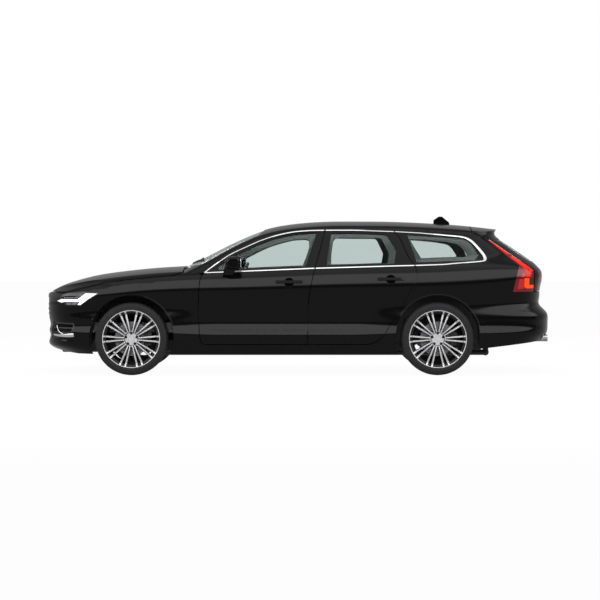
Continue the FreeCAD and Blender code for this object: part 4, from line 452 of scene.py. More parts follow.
def patch_mesh(work, outlines, out, thick, left, front=False, step=0.022):
    """a thin plate with given outlines from the side, which may share edges, bent to the skin"""
    flat = bmesh.new()
    for outline in outlines:
        flat.faces.new([flat.verts.new((x, 0, z)) for x, z in outline])
    bmesh.ops.remove_doubles(flat, verts=flat.verts, dist=MERGE)
    for axis in (0, 2):
        values = [v.co[axis] for v in flat.verts]
        low, high = min(values), max(values)
        count = int((high - low) / step)
        for i in range(1, count + 1):
            place, way = Vector((0, 0, 0)), Vector((0, 0, 0))
            place[axis] = low + (high - low) * i / (count + 1)
            way[axis] = 1
            bmesh.ops.bisect_plane(flat, geom=flat.verts[:] + flat.edges[:] + flat.faces[:],
                                   plane_co=place, plane_no=way)
    x, _, z = np.array([v.co for v in flat.verts], float).T
    layers = []
    for level in (out, out - thick):
        points, _ = skin_points(x, z, level, left, front)
        layers.append({v: work.verts.new(p) for v, p in zip(flat.verts, points)})
    for face in flat.faces:
        for layer in layers:
            work.faces.new([layer[v] for v in face.verts])
    for edge in flat.edges:
        if len(edge.link_faces) == 1:
            a, b = edge.verts
            work.faces.new([layers[0][a], layers[0][b], layers[1][b], layers[1][a]])
    flat.free()


def patches(name, outlines, material, body, left, out=0.0008, thick=0.0016, front=False):
    """a piece of separate plates on the skin"""
    work = bmesh.new()
    for outline in outlines:
        patch_mesh(work, [outline], out, thick, left, front)
    return add_piece(name, finish_mesh(work, name), material, body)


def along(path, step):
    """evenly spaced points of a smooth line through (x, z, width) points"""
    p = np.array(path, float)
    q = np.vstack([2 * p[0] - p[1], p, 2 * p[-1] - p[-2]])
    fine = []
    for i in range(len(p) - 1):
        a, b, c, d = q[i:i + 4]
        for t in np.linspace(0, 1, FINE_STEPS, endpoint=False):
            fine.append(0.5 * (2 * b + (c - a) * t + (2 * a - 5 * b + 4 * c - d) * t ** 2
                               + (3 * b - a - 3 * c + d) * t ** 3))
    fine.append(p[-1])
    fine = np.array(fine)
    run = np.concatenate([[0], np.cumsum(np.linalg.norm(np.diff(fine[:, :2], axis=0), axis=1))])
    even = np.linspace(0, run[-1], int(run[-1] / step) + 2)
    return np.column_stack([np.interp(even, run, fine[:, k]) for k in range(p.shape[1])])


RIBBON_SECTION = [
    (-0.5, -1.0), (-0.5, 0.35), (-0.36, 0.85), (-0.12, 1.0), (0.12, 1.0), (0.36, 0.85),
    (0.5, 0.35), (0.5, -1.0)]


def ribbon(work, path, rise, left, front=False, step=0.014):
    """a crowned strip of given (x, z, width) points, laid on the skin"""
    x, z, width = along(path, step).T
    spots, ways = skin_points(x, z, 0, left, front)
    rows = []
    for i, (p, n) in enumerate(zip(spots, ways)):
        side = np.cross(n, spots[min(i + 1, len(spots) - 1)] - spots[max(i - 1, 0)])
        side *= width[i] / np.linalg.norm(side)
        rows.append([work.verts.new(p + side * a + n * (b * rise)) for a, b in RIBBON_SECTION])
    count = len(RIBBON_SECTION)
    for a, b in zip(rows, rows[1:]):
        for k in range(count):
            work.faces.new([a[k], a[(k + 1) % count], b[(k + 1) % count], b[k]])
    work.faces.new(rows[0])
    work.faces.new(rows[-1])


def wide(points, width):
    """(x, z) points with one width"""
    return [(x, z, width) for x, z in points]


# bright window surrounds, piece by piece where the panels part
FRONT_TOP = [
    (-0.897, 0.986), (-0.777, 1.077), (-0.651, 1.161), (-0.494, 1.236), (-0.347, 1.300),
    (-0.199, 1.347), (-0.051, 1.378), (0.099, 1.392), (0.258, 1.396)]
REAR_TOP = [(0.273, 1.396), (0.552, 1.396), (0.750, 1.390), (0.934, 1.383)]
QUARTER = [
    (0.947, 1.383, 0.014), (1.201, 1.368, 0.014), (1.443, 1.346, 0.015), (1.590, 1.331, 0.017),
    (1.667, 1.302, 0.022), (1.729, 1.243, 0.025), (1.785, 1.173, 0.027), (1.806, 1.135, 0.032),
    (1.800, 1.110, 0.030), (1.765, 1.097, 0.018), (1.512, 1.076, 0.014), (1.406, 1.066, 0.014),
    (1.134, 1.056, 0.014)]
FRONT_LOW = [(-0.888, 0.986), (-0.344, 1.008), (0.049, 1.024), (0.160, 1.029)]
REAR_LOW = [(0.175, 1.029), (0.891, 1.050), (1.121, 1.056)]
STRIP_WIDTH, STRIP_RISE = 0.014, 0.0035
for place, sign in SIDES:
    left = sign < 0
    for name, body, paths in (
            ("front_trim_", "door_front_" + place, (FRONT_TOP, FRONT_LOW)),
            ("rear_trim_", "door_rear_" + place, (REAR_TOP, REAR_LOW)),
            ("quarter_trim_", "car_body", (QUARTER,))):
        work = bmesh.new()
        for path in paths:
            ribbon(work, path if path is QUARTER else wide(path, STRIP_WIDTH), STRIP_RISE, left)
        add_piece(name + place, finish_mesh(work, name, ROUNDED), chrome, body)

# dark borders printed on the side glass: (outer, inner) points in pairs
FRONT_BORDER = (
    [(-0.760, 1.014), (-0.500, 1.022), (-0.300, 1.030), (0.076, 1.045), (0.102, 1.130),
     (0.125, 1.200), (0.150, 1.280), (0.183, 1.368), (0.098, 1.364), (-0.050, 1.349),
     (-0.196, 1.317), (-0.343, 1.269), (-0.490, 1.204), (-0.646, 1.126), (-0.760, 1.050)],
    [(-0.600, 1.026), (-0.490, 1.030), (-0.300, 1.038), (0.050, 1.052), (0.080, 1.120),
     (0.100, 1.180), (0.118, 1.240), (0.116, 1.304), (0.075, 1.316), (-0.054, 1.307),
     (-0.180, 1.275), (-0.300, 1.236), (-0.400, 1.190), (-0.520, 1.128), (-0.620, 1.060)])
REAR_BORDER = (
    [(0.277, 1.056), (0.600, 1.064), (0.931, 1.072), (0.940, 1.140), (0.949, 1.206),
     (0.854, 1.352), (0.820, 1.353), (0.546, 1.364), (0.400, 1.364), (0.324, 1.364),
     (0.312, 1.300), (0.295, 1.180)],
    [(0.322, 1.062), (0.600, 1.068), (0.866, 1.078), (0.874, 1.130), (0.880, 1.176),
     (0.816, 1.306), (0.793, 1.325), (0.546, 1.327), (0.403, 1.329), (0.364, 1.317),
     (0.344, 1.286), (0.326, 1.171)])
QUARTER_BORDER = (
    [(1.145, 1.085), (1.400, 1.094), (1.700, 1.105), (1.742, 1.150), (1.700, 1.235),
     (1.640, 1.295), (1.590, 1.318), (1.427, 1.330), (1.188, 1.345), (1.060, 1.352),
     (1.100, 1.225)],
    [(1.195, 1.122), (1.400, 1.133), (1.628, 1.142), (1.640, 1.150), (1.590, 1.225),
     (1.548, 1.262), (1.515, 1.272), (1.410, 1.290), (1.220, 1.308), (1.085, 1.312),
     (1.140, 1.210)])
GLASS_DEPTH, BORDER_OUT, BORDER_THICK = 0.008, 0.0004, 0.0015
SILL_END = [(-1.218, 0.204), (-1.124, 0.204), (-1.124, 0.2968), (-1.194, 0.2968)]
SILL_DEEP = 0.070
for place, sign in SIDES:
    left = sign < 0
    for name, body, (outer, inner) in (
            ("front_border_", "door_front_" + place, FRONT_BORDER),
            ("rear_border_", "door_rear_" + place, REAR_BORDER),
            ("quarter_border_", "car_body", QUARTER_BORDER)):
        work = bmesh.new()
        n = len(outer)
        ring = [[outer[i], outer[(i + 1) % n], inner[(i + 1) % n], inner[i]] for i in range(n)]
        patch_mesh(work, ring, BORDER_OUT - GLASS_DEPTH, BORDER_THICK, left)
        mesh = finish_mesh(work, name)
        for material in (border, headliner):
            mesh.materials.append(material)
        for face in mesh.polygons:
            face.material_index = int(face.normal.y * sign < LOOKS_IN)
        add_piece(name + place, mesh, border, body)
    patches("sill_end_" + place, [SILL_END], paint, "car_body", left, 0.0, SILL_DEEP)

# tops of the wings, up to the bonnet's shut line, and a black gutter behind that line
WING_TOP = [
    (-2.2380, 0.7912), (-2.0850, 0.8171), (-1.8930, 0.8499), (-1.7009, 0.8827), (-1.5099, 0.9153),
    (-1.3940, 0.9350), (-1.3179, 0.9418), (-1.2100, 0.9524)]
SHUT_LINE = [
    (-2.2380, 0.7951), (-2.0850, 0.8360), (-1.8930, 0.8781), (-1.7009, 0.9099), (-1.5099, 0.9301),
    (-1.3940, 0.9403), (-1.3179, 0.9470), (-1.2100, 0.9574)]
GUTTER_FROM, GUTTER_TO = (-2.3000, 0.7962), (-1.1450, 0.9770)
SHUT_GAP, WING_DEEP, GUTTER_DEPTH, GUTTER_THICK, GUTTER_TALL = 0.0015, 0.012, 0.030, 0.003, 0.034
WING_STEP = 0.012


def band(low, high):
    """quads between two lines with the same number of points"""
    return [[low[i], low[i + 1], high[i + 1], high[i]] for i in range(len(low) - 1)]


for place, sign in SIDES:
    left = sign < 0
    work = bmesh.new()
    edge = [(x, z - SHUT_GAP) for x, z in SHUT_LINE]
    patch_mesh(work, band(WING_TOP, edge), 0, WING_DEEP, left, True, WING_STEP)
    mesh = finish_mesh(work, "wing_top")
    polish(mesh, True)
    add_piece("wing_top_" + place, mesh, paint, "car_body")
    work = bmesh.new()
    line = [GUTTER_FROM] + SHUT_LINE + [GUTTER_TO]
    wall = band(line, [(x, z + GUTTER_TALL) for x, z in line])
    patch_mesh(work, wall, -GUTTER_DEPTH, GUTTER_THICK, left, True)
    add_piece("bonnet_gutter_" + place, finish_mesh(work, "gutter"), black_plastic,
              "car_body")

# rolled lips of the wheel arches, between two angles in degrees from the top
LIP_RADIUS, LIP_WIDTH, LIP_RISE, LIP_Z = 0.414, 0.010, 0.0022, 0.362
LIP_STEPS, LIP_STEP = 15, 0.02
for place, sign in SIDES:
    for axle, x, low, high in (("front", FRONT_AXLE, -66, 84), ("rear", REAR_AXLE, -60, 84)):
        work = bmesh.new()
        turns = [math.radians(low + (high - low) * k / LIP_STEPS) for k in range(LIP_STEPS + 1)]
        arc = [(x + LIP_RADIUS * math.sin(a), LIP_Z + LIP_RADIUS * math.cos(a)) for a in turns]
        ribbon(work, wide(arc, LIP_WIDTH), LIP_RISE, sign < 0, step=LIP_STEP)
        add_piece("arch_lip_%s_%s" % (axle, place), finish_mesh(work, "arch_lip", ROUNDED),
                  paint, "car_body")

# lamps: dark glossy lens over the whole, with its lit and coloured fields
T_LIGHT = [
    (-2.330, 0.711), (-2.285, 0.730), (-2.120, 0.730), (-2.038, 0.786), (-1.925, 0.786),
    (-2.014, 0.730), (-2.088, 0.676), (-2.121, 0.676), (-2.095, 0.704), (-2.248, 0.704),
    (-2.284, 0.696)]
LAMP_CELLS = [
    [(-2.262, 0.739), (-2.238, 0.762), (-2.204, 0.765), (-2.212, 0.739)],
    [(-2.205, 0.739), (-2.197, 0.766), (-2.150, 0.770), (-2.160, 0.739)],
    [(-2.153, 0.739), (-2.143, 0.771), (-2.075, 0.777), (-2.122, 0.741)],
    [(-2.240, 0.696), (-2.180, 0.697), (-2.184, 0.676), (-2.224, 0.676)],
    [(-2.174, 0.697), (-2.112, 0.697), (-2.132, 0.676), (-2.178, 0.676)]]
RED_BAND = [
    (1.860, 1.298), (1.878, 1.291), (2.282, 1.011), (2.258, 0.990), (2.252, 0.944), (2.200, 0.944),
    (2.200, 1.000), (2.172, 1.044)]
RED_ELL = [
    (2.187, 0.934), (2.238, 0.934), (2.235, 0.868), (2.284, 0.866), (2.284, 0.834),
    (2.208, 0.834), (2.184, 0.850)]
RED_BLOCKS = [[(2.136, 0.925), (2.182, 0.925), (2.178, 0.832), (2.116, 0.828)],
              [(2.164, 0.983), (2.194, 0.983), (2.194, 0.944), (2.152, 0.944)]]
DARK_CELL = [(2.244, 0.934), (2.284, 0.934), (2.284, 0.874), (2.241, 0.874)]
for place, sign in SIDES:
    left = sign < 0
    for name, outlines, material, slot, front in (
            ("lamp_light_", [T_LIGHT], white_light, "lamp_clear", True),
            ("lamp_cells_", LAMP_CELLS, reflector, "steel", True),
            ("tail_band_", [RED_BAND], bright_red, "lamp_red", False),
            ("tail_ell_", [RED_ELL], orange_red, "lamp_red", False),
            ("tail_blocks_", RED_BLOCKS, middle_red, "lamp_red", False),
            ("tail_cell_", [DARK_CELL], dark_red, "lamp_red", False)):
        patches(name + place, outlines, material, "car_body", left, front=front)

# bright bar across the lower edge of each front intake, and its curved bracket
INTAKE_BAR = [
    (-2.372, 0.382, 0.020), (-2.330, 0.378, 0.026), (-2.260, 0.376, 0.030),
    (-2.200, 0.380, 0.034), (-2.156, 0.384, 0.030)]
BRACKET = [
    (-2.334, 0.474, 0.006), (-2.326, 0.440, 0.009), (-2.304, 0.410, 0.011),
    (-2.268, 0.394, 0.012)]
BAR_RISE, BRACKET_STEP = 0.006, 0.008
for place, sign in SIDES:
    work = bmesh.new()
    ribbon(work, INTAKE_BAR, BAR_RISE, sign < 0, True)
    ribbon(work, BRACKET, BAR_RISE, sign < 0, True, BRACKET_STEP)
    add_piece("intake_bar_" + place, finish_mesh(work, "intake_bar", ROUNDED), chrome,
              "car_body")


# wheels
def spun(profile, x, y, count, lift=None):
    """a ring about the axle from (distance out, radius) pairs; lift(k, i) lowers its points"""
    work = bmesh.new()
    rows = []
    for k in range(count):
        a = 2 * math.pi * k / count
        row = []
        for i, (out, r) in enumerate(profile):
            r -= lift(k, i) if lift else 0
            row.append(work.verts.new((x + r * math.sin(a), y + (out if y > 0 else -out),
                                       WHEEL_Z + r * math.cos(a))))
        rows.append(row)
    n = len(profile)
    for k in range(count):
        a, b = rows[k], rows[(k + 1) % count]
        for i in range(n):
            work.faces.new([a[i], a[(i + 1) % n], b[(i + 1) % n], b[i]])
    return work


GROOVE, GROOVE_SLOPE, SIPE, CUTS = 0.0075, 0.0012, 0.004, 4
TREAD_EDGE, TREAD_TOP, TREAD_MIDDLE = (0.0820, 0.3480), 0.3492, 0.3494
SIDE_WALL = [
    (0.1080, 0.2562), (0.1130, 0.2600), (0.1165, 0.2645), (0.1180, 0.2650), (0.1215, 0.2720),
    (0.1240, 0.2800), (0.1258, 0.2890), (0.1268, 0.2980), (0.1262, 0.3060), (0.1246, 0.3065),
    (0.1242, 0.3085), (0.1254, 0.3095), (0.1236, 0.3190), (0.1205, 0.3270), (0.1160, 0.3340),
    (0.1090, 0.3400), (0.0990, 0.3455)]
tread_half = SIDE_WALL + [TREAD_EDGE]
for outer, inner in ((0.0680, 0.0560), (0.0260, 0.0150)):
    tread_half += [(outer, TREAD_TOP), (outer - GROOVE_SLOPE, TREAD_TOP - GROOVE),
                   (inner + GROOVE_SLOPE, TREAD_TOP - GROOVE), (inner, TREAD_MIDDLE)]
TYRE_PROFILE = tread_half + [(-a, r) for a, r in reversed(tread_half)]
PITCHES = 72
SHOULDER = range(13, 18)
shoulder_points = set(SHOULDER) | {len(TYRE_PROFILE) - 1 - i for i in SHOULDER}


def sipe(k, i):
    """how deep the tread's shoulder is cut at one point"""
    return SIPE if k % CUTS == 0 and i in shoulder_points else 0.0


# rim: the cosine of a face that looks out, distances out from the middle plane, radii
POCKET_PAINT_AND_SHADE, ALLOY, STEEL = range(3)
LOOKS_OUT, SPOKE_OUT, HUB_OUT, DISC_OUT = 0.99, 0.094, 0.084, 0.02
HUB_RADIUS, DISC_RADIUS = 0.05, 0.19
FLAT_ANGLE, SPOKE_MARGIN, SPOKE_PROUD = 0.01, 0.0040, 0.0008
RIM_LIP = [
    (0.1235, 0.2772), (0.1252, 0.2776), (0.1266, 0.2764), (0.1264, 0.2706), (0.1250, 0.2694),
    (0.1225, 0.2700)]
SPOKE_TIP = [
    (0.236, 0.0972), (0.2445, 0.0985), (0.2462, 0.1170), (0.2480, 0.1200), (0.2705, 0.1262)]
SPOKE_PAIRS, PAIR_HALF, PAIR_FROM, PAIR_SPREAD = 10, 0.009, 0.060, 0.086
TIP_HALF, TIP_THICK, TIP_LEAN = 0.0075, 0.003, 0.5
BOLTS, BOLT_CIRCLE, BOLT_OUT, BOLT_RADIUS, BOLT_LENGTH = 5, 0.054, 0.077, 0.0070, 0.010


def rim_skin(key, x, sign):
    """the rim with machined spokes, a steel disc behind, and near-black faces between and beside
    the spokes: dark paint on the spoke sides, made darker as painted shade in the pockets and
    barrel
    """
    work = merged("rim_" + key)
    bmesh.ops.dissolve_limit(work, angle_limit=FLAT_ANGLE, verts=work.verts, edges=work.edges)
    work.faces.ensure_lookup_table()
    spokes = []
    for face in work.faces:
        c = face.calc_center_median()
        out, r = sign * c.y - WHEEL_Y, math.hypot(c.x - x, c.z - WHEEL_Z)
        flat = sign * face.normal.y > LOOKS_OUT
        if flat and out > SPOKE_OUT and r > HUB_RADIUS:
            spokes.append(face)
        # faces other than the flat spoke and hub faces get the near-black finish: partly dark
        # paint, partly painted shade in the pockets
        face.material_index = ALLOY if flat and HUB_OUT < out < SPOKE_OUT else POCKET_PAINT_AND_SHADE
        if r < DISC_RADIUS and out < DISC_OUT:
            face.material_index = STEEL
    bmesh.ops.inset_region(work, faces=spokes, thickness=SPOKE_MARGIN, depth=SPOKE_PROUD,
                           use_even_offset=True)
    for face in spokes:
        face.material_index = ALLOY
    mesh = finish_mesh(work, "rim_skin")
    for material in (pocket_paint_and_shade, alloy, steel):
        mesh.materials.append(material)
    return mesh


def spoke_tips(x, y, sign):
    """strips that lead the spokes, which stand in pairs, out to the rim's lip"""
    work = bmesh.new()
    for k in range(SPOKE_PAIRS):
        turn = Matrix.Rotation(2 * math.pi * k / SPOKE_PAIRS, 3, "Y")
        for side in (-1, 1):
            points = []
            for r, out in SPOKE_TIP:
                middle = side * (PAIR_HALF + (r - PAIR_FROM) * PAIR_SPREAD)
                for half in (-TIP_HALF, TIP_HALF):
                    for deep in (0.0, -TIP_THICK):
                        spot = turn @ Vector((r + deep * TIP_LEAN, 0, middle + half))
                        points.append(work.verts.new(
                            (x + spot.x, y + sign * (out + deep), WHEEL_Z + spot.z)))
            quads = [points[i:i + 4] for i in range(0, len(points), 4)]
            for a, b in zip(quads, quads[1:]):
                for i, j in ((0, 2), (2, 3), (3, 1), (1, 0)):
                    work.faces.new([a[i], a[j], b[j], b[i]])
            for end in (quads[0], quads[-1]):
                work.faces.new([end[0], end[2], end[3], end[1]])
    return finish_mesh(work, "spoke_tips")


def bolt_heads(x, y, sign):
    """hexagon heads round the hub"""
    work = bmesh.new()
    for k in range(BOLTS):
        a = 2 * math.pi * k / BOLTS
        centre = Vector((x + BOLT_CIRCLE * math.sin(a), y + sign * BOLT_OUT,
                         WHEEL_Z + BOLT_CIRCLE * math.cos(a)))
        turn = Matrix.Translation(centre) @ Matrix.Rotation(math.pi / 2, 4, "X")
        bmesh.ops.create_cone(work, segments=6, radius1=BOLT_RADIUS, radius2=BOLT_RADIUS,
                              depth=BOLT_LENGTH, cap_ends=True, matrix=turn)
    return finish_mesh(work, "bolts")


TREAD_ANGLE, LIP_POINTS = 35, 144
for axle, x in (("front", FRONT_AXLE), ("rear", REAR_AXLE)):
    for place, sign in SIDES:
        key = axle + "_" + place
        y = sign * WHEEL_Y
        tyre = finish_mesh(spun(TYRE_PROFILE, x, y, PITCHES * CUTS, sipe), "tyre_skin", TREAD_ANGLE)
        lip = finish_mesh(spun(RIM_LIP, x, y, LIP_POINTS), "rim_lip")
        for name, mesh, material, slot, node in (
                ("tyre_skin_", tyre, rubber, "tyre", "tyre_" + key),
                ("rim_skin_", rim_skin(key, x, sign), alloy, "rim", "rim_" + key),
                ("rim_lip_", lip, alloy, "rim", None),
                ("spoke_tips_", spoke_tips(x, y, sign), alloy, "rim", None),
                ("bolts_", bolt_heads(x, y, sign), dark_steel, "steel", None)):
            add_piece(name + key, mesh, material, "wheel_" + key, node)

# mirror glasses on the backs of the housings
MIRROR_X, MIRROR_Y, MIRROR_Z, MIRROR_THICK = -0.5408, 0.988, 1.080, 0.003
MIRROR_HALF_WIDE, MIRROR_HALF_TALL, MIRROR_POINTS, MIRROR_SQUARE = 0.078, 0.050, 48, 0.45


def squared(value):
    """a sine or cosine pushed out towards a rectangle with round corners"""
    return math.copysign(abs(value) ** MIRROR_SQUARE, value)


for place, sign in SIDES:
    work = bmesh.new()
    ring = []
    for k in range(MIRROR_POINTS):
        a = 2 * math.pi * k / MIRROR_POINTS
        ring.append(work.verts.new((
            MIRROR_X, sign * (MIRROR_Y + MIRROR_HALF_WIDE * squared(math.cos(a))),
            MIRROR_Z + MIRROR_HALF_TALL * squared(math.sin(a)))))
    made = bmesh.ops.extrude_face_region(work, geom=[work.faces.new(ring)])
    back = [v for v in made["geom"] if isinstance(v, bmesh.types.BMVert)]
    bmesh.ops.translate(work, vec=(-MIRROR_THICK, 0, 0), verts=back)
    add_piece("mirror_glass_" + place, finish_mesh(work, "mirror_glass"), mirror,
              "door_front_" + place)

# exhaust with bright tips
TIPS_FROM, PIPE_ANGLE = 2.24, 40
work = merged("exhaust")
for face in work.faces:
    face.material_index = int(face.calc_center_median().x > TIPS_FROM)
mesh = finish_mesh(work, "exhaust_skin", PIPE_ANGLE)
for material in (dark_steel, brushed):
    mesh.materials.append(material)
add_piece("exhaust_skin", mesh, dark_steel, "car_body", "exhaust")


def apply_modifier(piece, kind, **settings):
    """change the active piece's mesh by one modifier"""
    item = piece.modifiers.new(kind.lower(), kind)
    for key, value in settings.items():
        setattr(item, key, value)
    bpy.ops.object.modifier_apply(modifier=item.name)


# undershield with its edges turned up, beams of the rear suspension, walls of the intakes
FACES_UP, BEVEL_STEPS, SHIELD_WALL = 0.9, 4, 0.004
BOXES = (     # name, centre, size, rounding, material
    ("undershield", (-1.735, 0, 0.265), (1.150, 0.850, 0.120), 0.018, black_plastic),
    ("rear_cross_member", (1.744, 0, 0.332), (0.088, 1.040, 0.206), 0.006, dark_steel),
    ("rear_link_beam", (0.980, 0, 0.276), (0.110, 1.180, 0.094), 0.006, dark_steel),
    ("intake_wall_left", (-2.246, -0.514, 0.430), (0.252, 0.004, 0.170), 0.001, black_plastic),
    ("intake_wall_right", (-2.246, 0.514, 0.430), (0.252, 0.004, 0.170), 0.001, black_plastic))
for name, centre, size, rounding, material in BOXES:
    open_top = name == "undershield"
    bpy.ops.mesh.primitive_cube_add(size=1, location=centre)
    piece = bpy.context.object
    piece.scale = size
    bpy.ops.object.transform_apply(location=True, rotation=False, scale=True)
    work = bmesh.new()
    work.from_mesh(piece.data)
    if open_top:
        top = [f for f in work.faces if f.normal.z > FACES_UP]
        bmesh.ops.delete(work, geom=top, context="FACES_ONLY")
    bmesh.ops.bevel(work, geom=[e for e in work.edges if len(e.link_faces) == 2],
                    offset=rounding, segments=BEVEL_STEPS, affect="EDGES", profile=0.5)
    work.to_mesh(piece.data)
    work.free()
    if open_top:
        apply_modifier(piece, "SOLIDIFY", thickness=SHIELD_WALL)
    piece.name = name
    piece.data.materials.append(material)
    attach(piece, "car_body")

# seats: a shrunken cover swells in a short cloth simulation, then it is sewn
HELD_TALL, SHRINK, SWELL, CLOTH_QUALITY, PRESSURE, CLOTH_STEPS = 0.04, 0.6, 0.014, 4, 4, 20
SEAM_WIDTH, SEAM_DEPTH, SEAMS_ABOVE, FILL, TINY = 0.006, 0.005, 0.36, 0.8, 1e-9


def swell(piece):
    """push the cover out by no more than SWELL, with its underside held"""
    mesh = piece.data
    start, normal = rows_of(mesh.vertices, "co"), rows_of(mesh.vertices, "normal")
    free = start[:, 2] > start[:, 2].min() + HELD_TALL
    shrunk = start - normal * (free[:, None] * SWELL * SHRINK)
    mesh.vertices.foreach_set("co", shrunk.ravel())
    held = piece.vertex_groups.new(name="held")
    held.add([int(i) for i in np.nonzero(~free)[0]], 1.0, "REPLACE")
    cloth = piece.modifiers.new("cloth", "CLOTH")
    cloth.settings.quality = CLOTH_QUALITY
    cloth.settings.use_pressure = True
    cloth.settings.uniform_pressure_force = PRESSURE
    cloth.settings.effector_weights.gravity = 0
    cloth.settings.vertex_group_mass = "held"
    cloth.point_cache.frame_start, cloth.point_cache.frame_end = 1, CLOTH_STEPS
    for step in range(1, CLOTH_STEPS + 1):
        bpy.context.scene.frame_set(step)
    seen = piece.evaluated_get(bpy.context.evaluated_depsgraph_get()).data
    shift = rows_of(seen.vertices, "co") - shrunk
    piece.modifiers.remove(cloth)
    bpy.context.scene.frame_set(1)
    size = np.linalg.norm(shift, axis=1)
    shift *= (np.minimum(size, SWELL) / np.maximum(size, TINY))[:, None]
    mesh.vertices.foreach_set("co", (shrunk + shift).ravel())
    mesh.update()


def sew(mesh, seams):
    """press seams into the cover, each at one place along an axis"""
    p, n = rows_of(mesh.vertices, "co"), rows_of(mesh.vertices, "normal")
    depth = np.zeros(len(p))
    for axis, at in seams:
        depth = np.maximum(depth, np.exp(-((p[:, axis] - at) / SEAM_WIDTH) ** 2))
    p -= n * (depth * SEAM_DEPTH * (p[:, 2] > SEAMS_ABOVE))[:, None]
    mesh.vertices.foreach_set("co", p.ravel())
    mesh.update()


def padded_seat(name, voxel, seams):
    """a padded cover in place of a seat's plain solid"""
    piece = bpy.data.objects.new(name + "_pad", nodes[name].data.copy())
    bpy.context.scene.collection.objects.link(piece)
    bpy.ops.object.select_all(action="DESELECT")
    piece.select_set(True)
    bpy.context.view_layer.objects.active = piece
    apply_modifier(piece, "REMESH", mode="VOXEL", voxel_size=voxel)
    swell(piece)
    apply_modifier(piece, "SUBSURF", levels=1, render_levels=1)
    sew(piece.data, seams)
    piece.data.materials.clear()
    piece.data.materials.append(leather)
    for face in piece.data.polygons:
        face.use_smooth = True
    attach(piece, "car_body")
    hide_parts(name)


SEAT_Y, BOLSTER = 0.370, 0.150
padded_seat("front_seats", 0.016,
            [(1, sign * (SEAT_Y + side * BOLSTER)) for sign in (-1, 1) for side in (-1, 1)]
            + [(2, z) for z in (0.62, 0.74, 0.86)])
padded_seat("rear_seat", 0.018,
            [(1, y) for y in (-0.40, -0.14, 0.14, 0.40)] + [(2, z) for z in (0.62, 0.76)])

# camera and studio; ramps are (share, grey) pairs over a part of the direction, from -1 to 1
CAMERA_X, CAMERA_AWAY, CAMERA_Z = 0.023, 22.0, 1.15
AIM_Z, VIEW_WIDTH, SENSOR, SEES_TO = 0.725, 5.748, 36.0, 200
FLOOR_SIZE, FLOOR_GREY, FLOOR_GLOW, FLOOR_MIRRORED = 160, 0.80, 0.965, 0.42
# the mirrored ceiling by its height, its fading away from the camera, and the pale far wall
CEILING = [(-1.0, 0.01), (0.10, 0.01), (0.13, 1.0), (0.56, 1.0), (0.66, 0.40), (1.0, 0.40)]
CEILING_NEAR = [(-1.0, 1.0), (0.05, 1.0), (0.30, 0.12), (1.0, 0.10)]
BEHIND = [(-1.0, 0.01), (0.0, 0.01), (0.15, 0.10), (1.0, 0.10)]
SKY = [(-1.0, 0.4), (0.0, 0.5), (1.0, 1.0)]
REFLECTED, AMBIENT = 3.0, 0.55
camera_data = bpy.data.cameras.new("camera")
camera = bpy.data.objects.new("camera", camera_data)
bpy.context.scene.collection.objects.link(camera)
camera.location = (CAMERA_X, -WIDTH / 2 - CAMERA_AWAY, CAMERA_Z)
aim = Vector((CAMERA_X, -WIDTH / 2, AIM_Z)) - camera.location
camera.rotation_euler = aim.to_track_quat("-Z", "Y").to_euler()
camera_data.sensor_width = SENSOR
camera_data.lens = SENSOR * aim.length / VIEW_WIDTH
camera_data.clip_end = SEES_TO
bpy.context.scene.camera = camera
bpy.context.scene.view_settings.view_transform = "Standard"


def link_nodes(tree, *pairs):
    """join pairs of sockets"""
    for a, b in pairs:
        tree.links.new(a, b)


def maths(tree, kind, a, b):
    """the result of a sum or product of two sockets or numbers"""
    node = tree.nodes.new("ShaderNodeMath")
    node.operation = kind
    for socket, value in zip(node.inputs, (a, b)):
        if isinstance(value, (int, float)):
            socket.default_value = value
        else:
            tree.links.new(value, socket)
    return node.outputs[0]


def light_path(tree):
    """(seen by the eye or through glass, seen in a reflection)"""
    path = tree.nodes.new("ShaderNodeLightPath").outputs
    seen = maths(tree, "MAXIMUM", path["Is Camera Ray"], path["Is Transmission Ray"])
    return seen, path["Is Glossy Ray"]


bpy.ops.mesh.primitive_plane_add(size=FLOOR_SIZE, location=(0, 0, 0))
floor = bpy.context.object
floor.name = "studio_floor"
floor_material = bpy.data.materials.new("studio_floor")
floor_material.use_nodes = True
tree = floor_material.node_tree
shader = tree.nodes["Principled BSDF"]
shader.inputs["Base Color"].default_value = (FLOOR_GREY, FLOOR_GREY, FLOOR_GREY, 1)
shader.inputs["Roughness"].default_value = 1.0
shader.inputs["Specular IOR Level"].default_value = 0.0
glow = tree.nodes.new("ShaderNodeEmission")
glow.inputs["Color"].default_value = (1, 1, 1, 1)
share = tree.nodes.new("ShaderNodeMixShader")
seen, glossy = light_path(tree)
dimmed = maths(tree, "MULTIPLY", glossy, 1 - FLOOR_MIRRORED)
link_nodes(tree, (maths(tree, "MAXIMUM", maths(tree, "MULTIPLY", seen, FLOOR_GLOW), glossy),
                  share.inputs[0]),
           (maths(tree, "SUBTRACT", 1.0, dimmed), glow.inputs["Strength"]),
           (shader.outputs[0], share.inputs[1]), (glow.outputs[0], share.inputs[2]),
           (share.outputs[0], tree.nodes["Material Output"].inputs["Surface"]))
floor.data.materials.append(floor_material)

# white all round for the eye and through glass; reflections show a dark studio behind the
# camera, under a light ceiling
world = bpy.data.worlds.new("studio")
bpy.context.scene.world = world
world.use_nodes = True
tree = world.node_tree
tree.nodes.clear()
output = tree.nodes.new("ShaderNodeOutputWorld")
split = tree.nodes.new("ShaderNodeSeparateXYZ")
tree.links.new(tree.nodes.new("ShaderNodeTexCoord").outputs["Generated"], split.inputs[0])


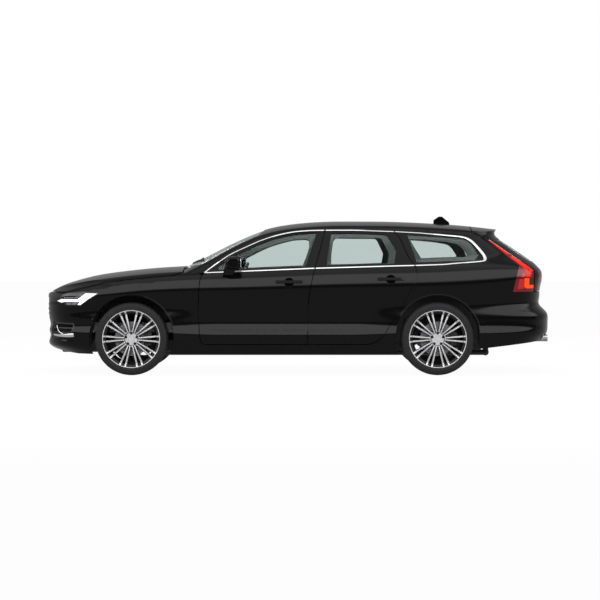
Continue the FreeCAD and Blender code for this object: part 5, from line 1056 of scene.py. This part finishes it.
def ramp_of(value, stops):
    """piecewise grey levels over a value from -1 to 1"""
    ramp = tree.nodes.new("ShaderNodeValToRGB")
    tree.links.new(maths(tree, "ADD", maths(tree, "MULTIPLY", value, 0.5), 0.5), ramp.inputs[0])
    elements = ramp.color_ramp.elements
    while len(elements) < len(stops):
        elements.new(0.5)
    for element, (at, grey) in zip(elements, stops):
        element.position = at / 2 + 0.5
        element.color = (grey, grey, grey, 1)
    return ramp.outputs[0]


def mixed(share, a, b):
    """a blend of two values"""
    node = tree.nodes.new("ShaderNodeMix")
    node.data_type = "FLOAT"
    for socket, value in zip((node.inputs[0], node.inputs[2], node.inputs[3]), (share, a, b)):
        if isinstance(value, float):
            socket.default_value = value
        else:
            tree.links.new(value, socket)
    return node.outputs[0]


sideways, upwards = split.outputs[1], split.outputs[2]
ceiling = maths(tree, "MULTIPLY", ramp_of(upwards, CEILING), ramp_of(sideways, CEILING_NEAR))
studio = maths(tree, "MAXIMUM", ceiling, ramp_of(sideways, BEHIND))
mirrored_light = maths(tree, "MULTIPLY", studio, REFLECTED)
plain = maths(tree, "MULTIPLY", ramp_of(upwards, SKY), AMBIENT)
seen, glossy = light_path(tree)
background = tree.nodes.new("ShaderNodeBackground")
background.inputs["Color"].default_value = (1, 1, 1, 1)
link_nodes(tree, (mixed(seen, mixed(glossy, plain, mirrored_light), 1.0),
                  background.inputs["Strength"]), (background.outputs[0], output.inputs[0]))

for name, where, target, size, power in (
        ("overhead", (0, -1.0, 6.0), (0, 0, 0), (9, 5), 420),
        ("near_side", (0, -9.0, 5.0), (0, 0, 0.6), (10, 3), 420),
        ("far_side", (0, 9.0, 5.0), (0, 0, 0.6), (10, 3), 260)):
    light = bpy.data.lights.new(name, "AREA")
    light.shape = "RECTANGLE"
    light.size, light.size_y = size
    light.energy = power
    item = bpy.data.objects.new(name, light)
    item.location = where
    item.rotation_euler = (Vector(target) - Vector(where)).to_track_quat("-Z", "Y").to_euler()
    item.visible_glossy = False
    bpy.context.scene.collection.objects.link(item)
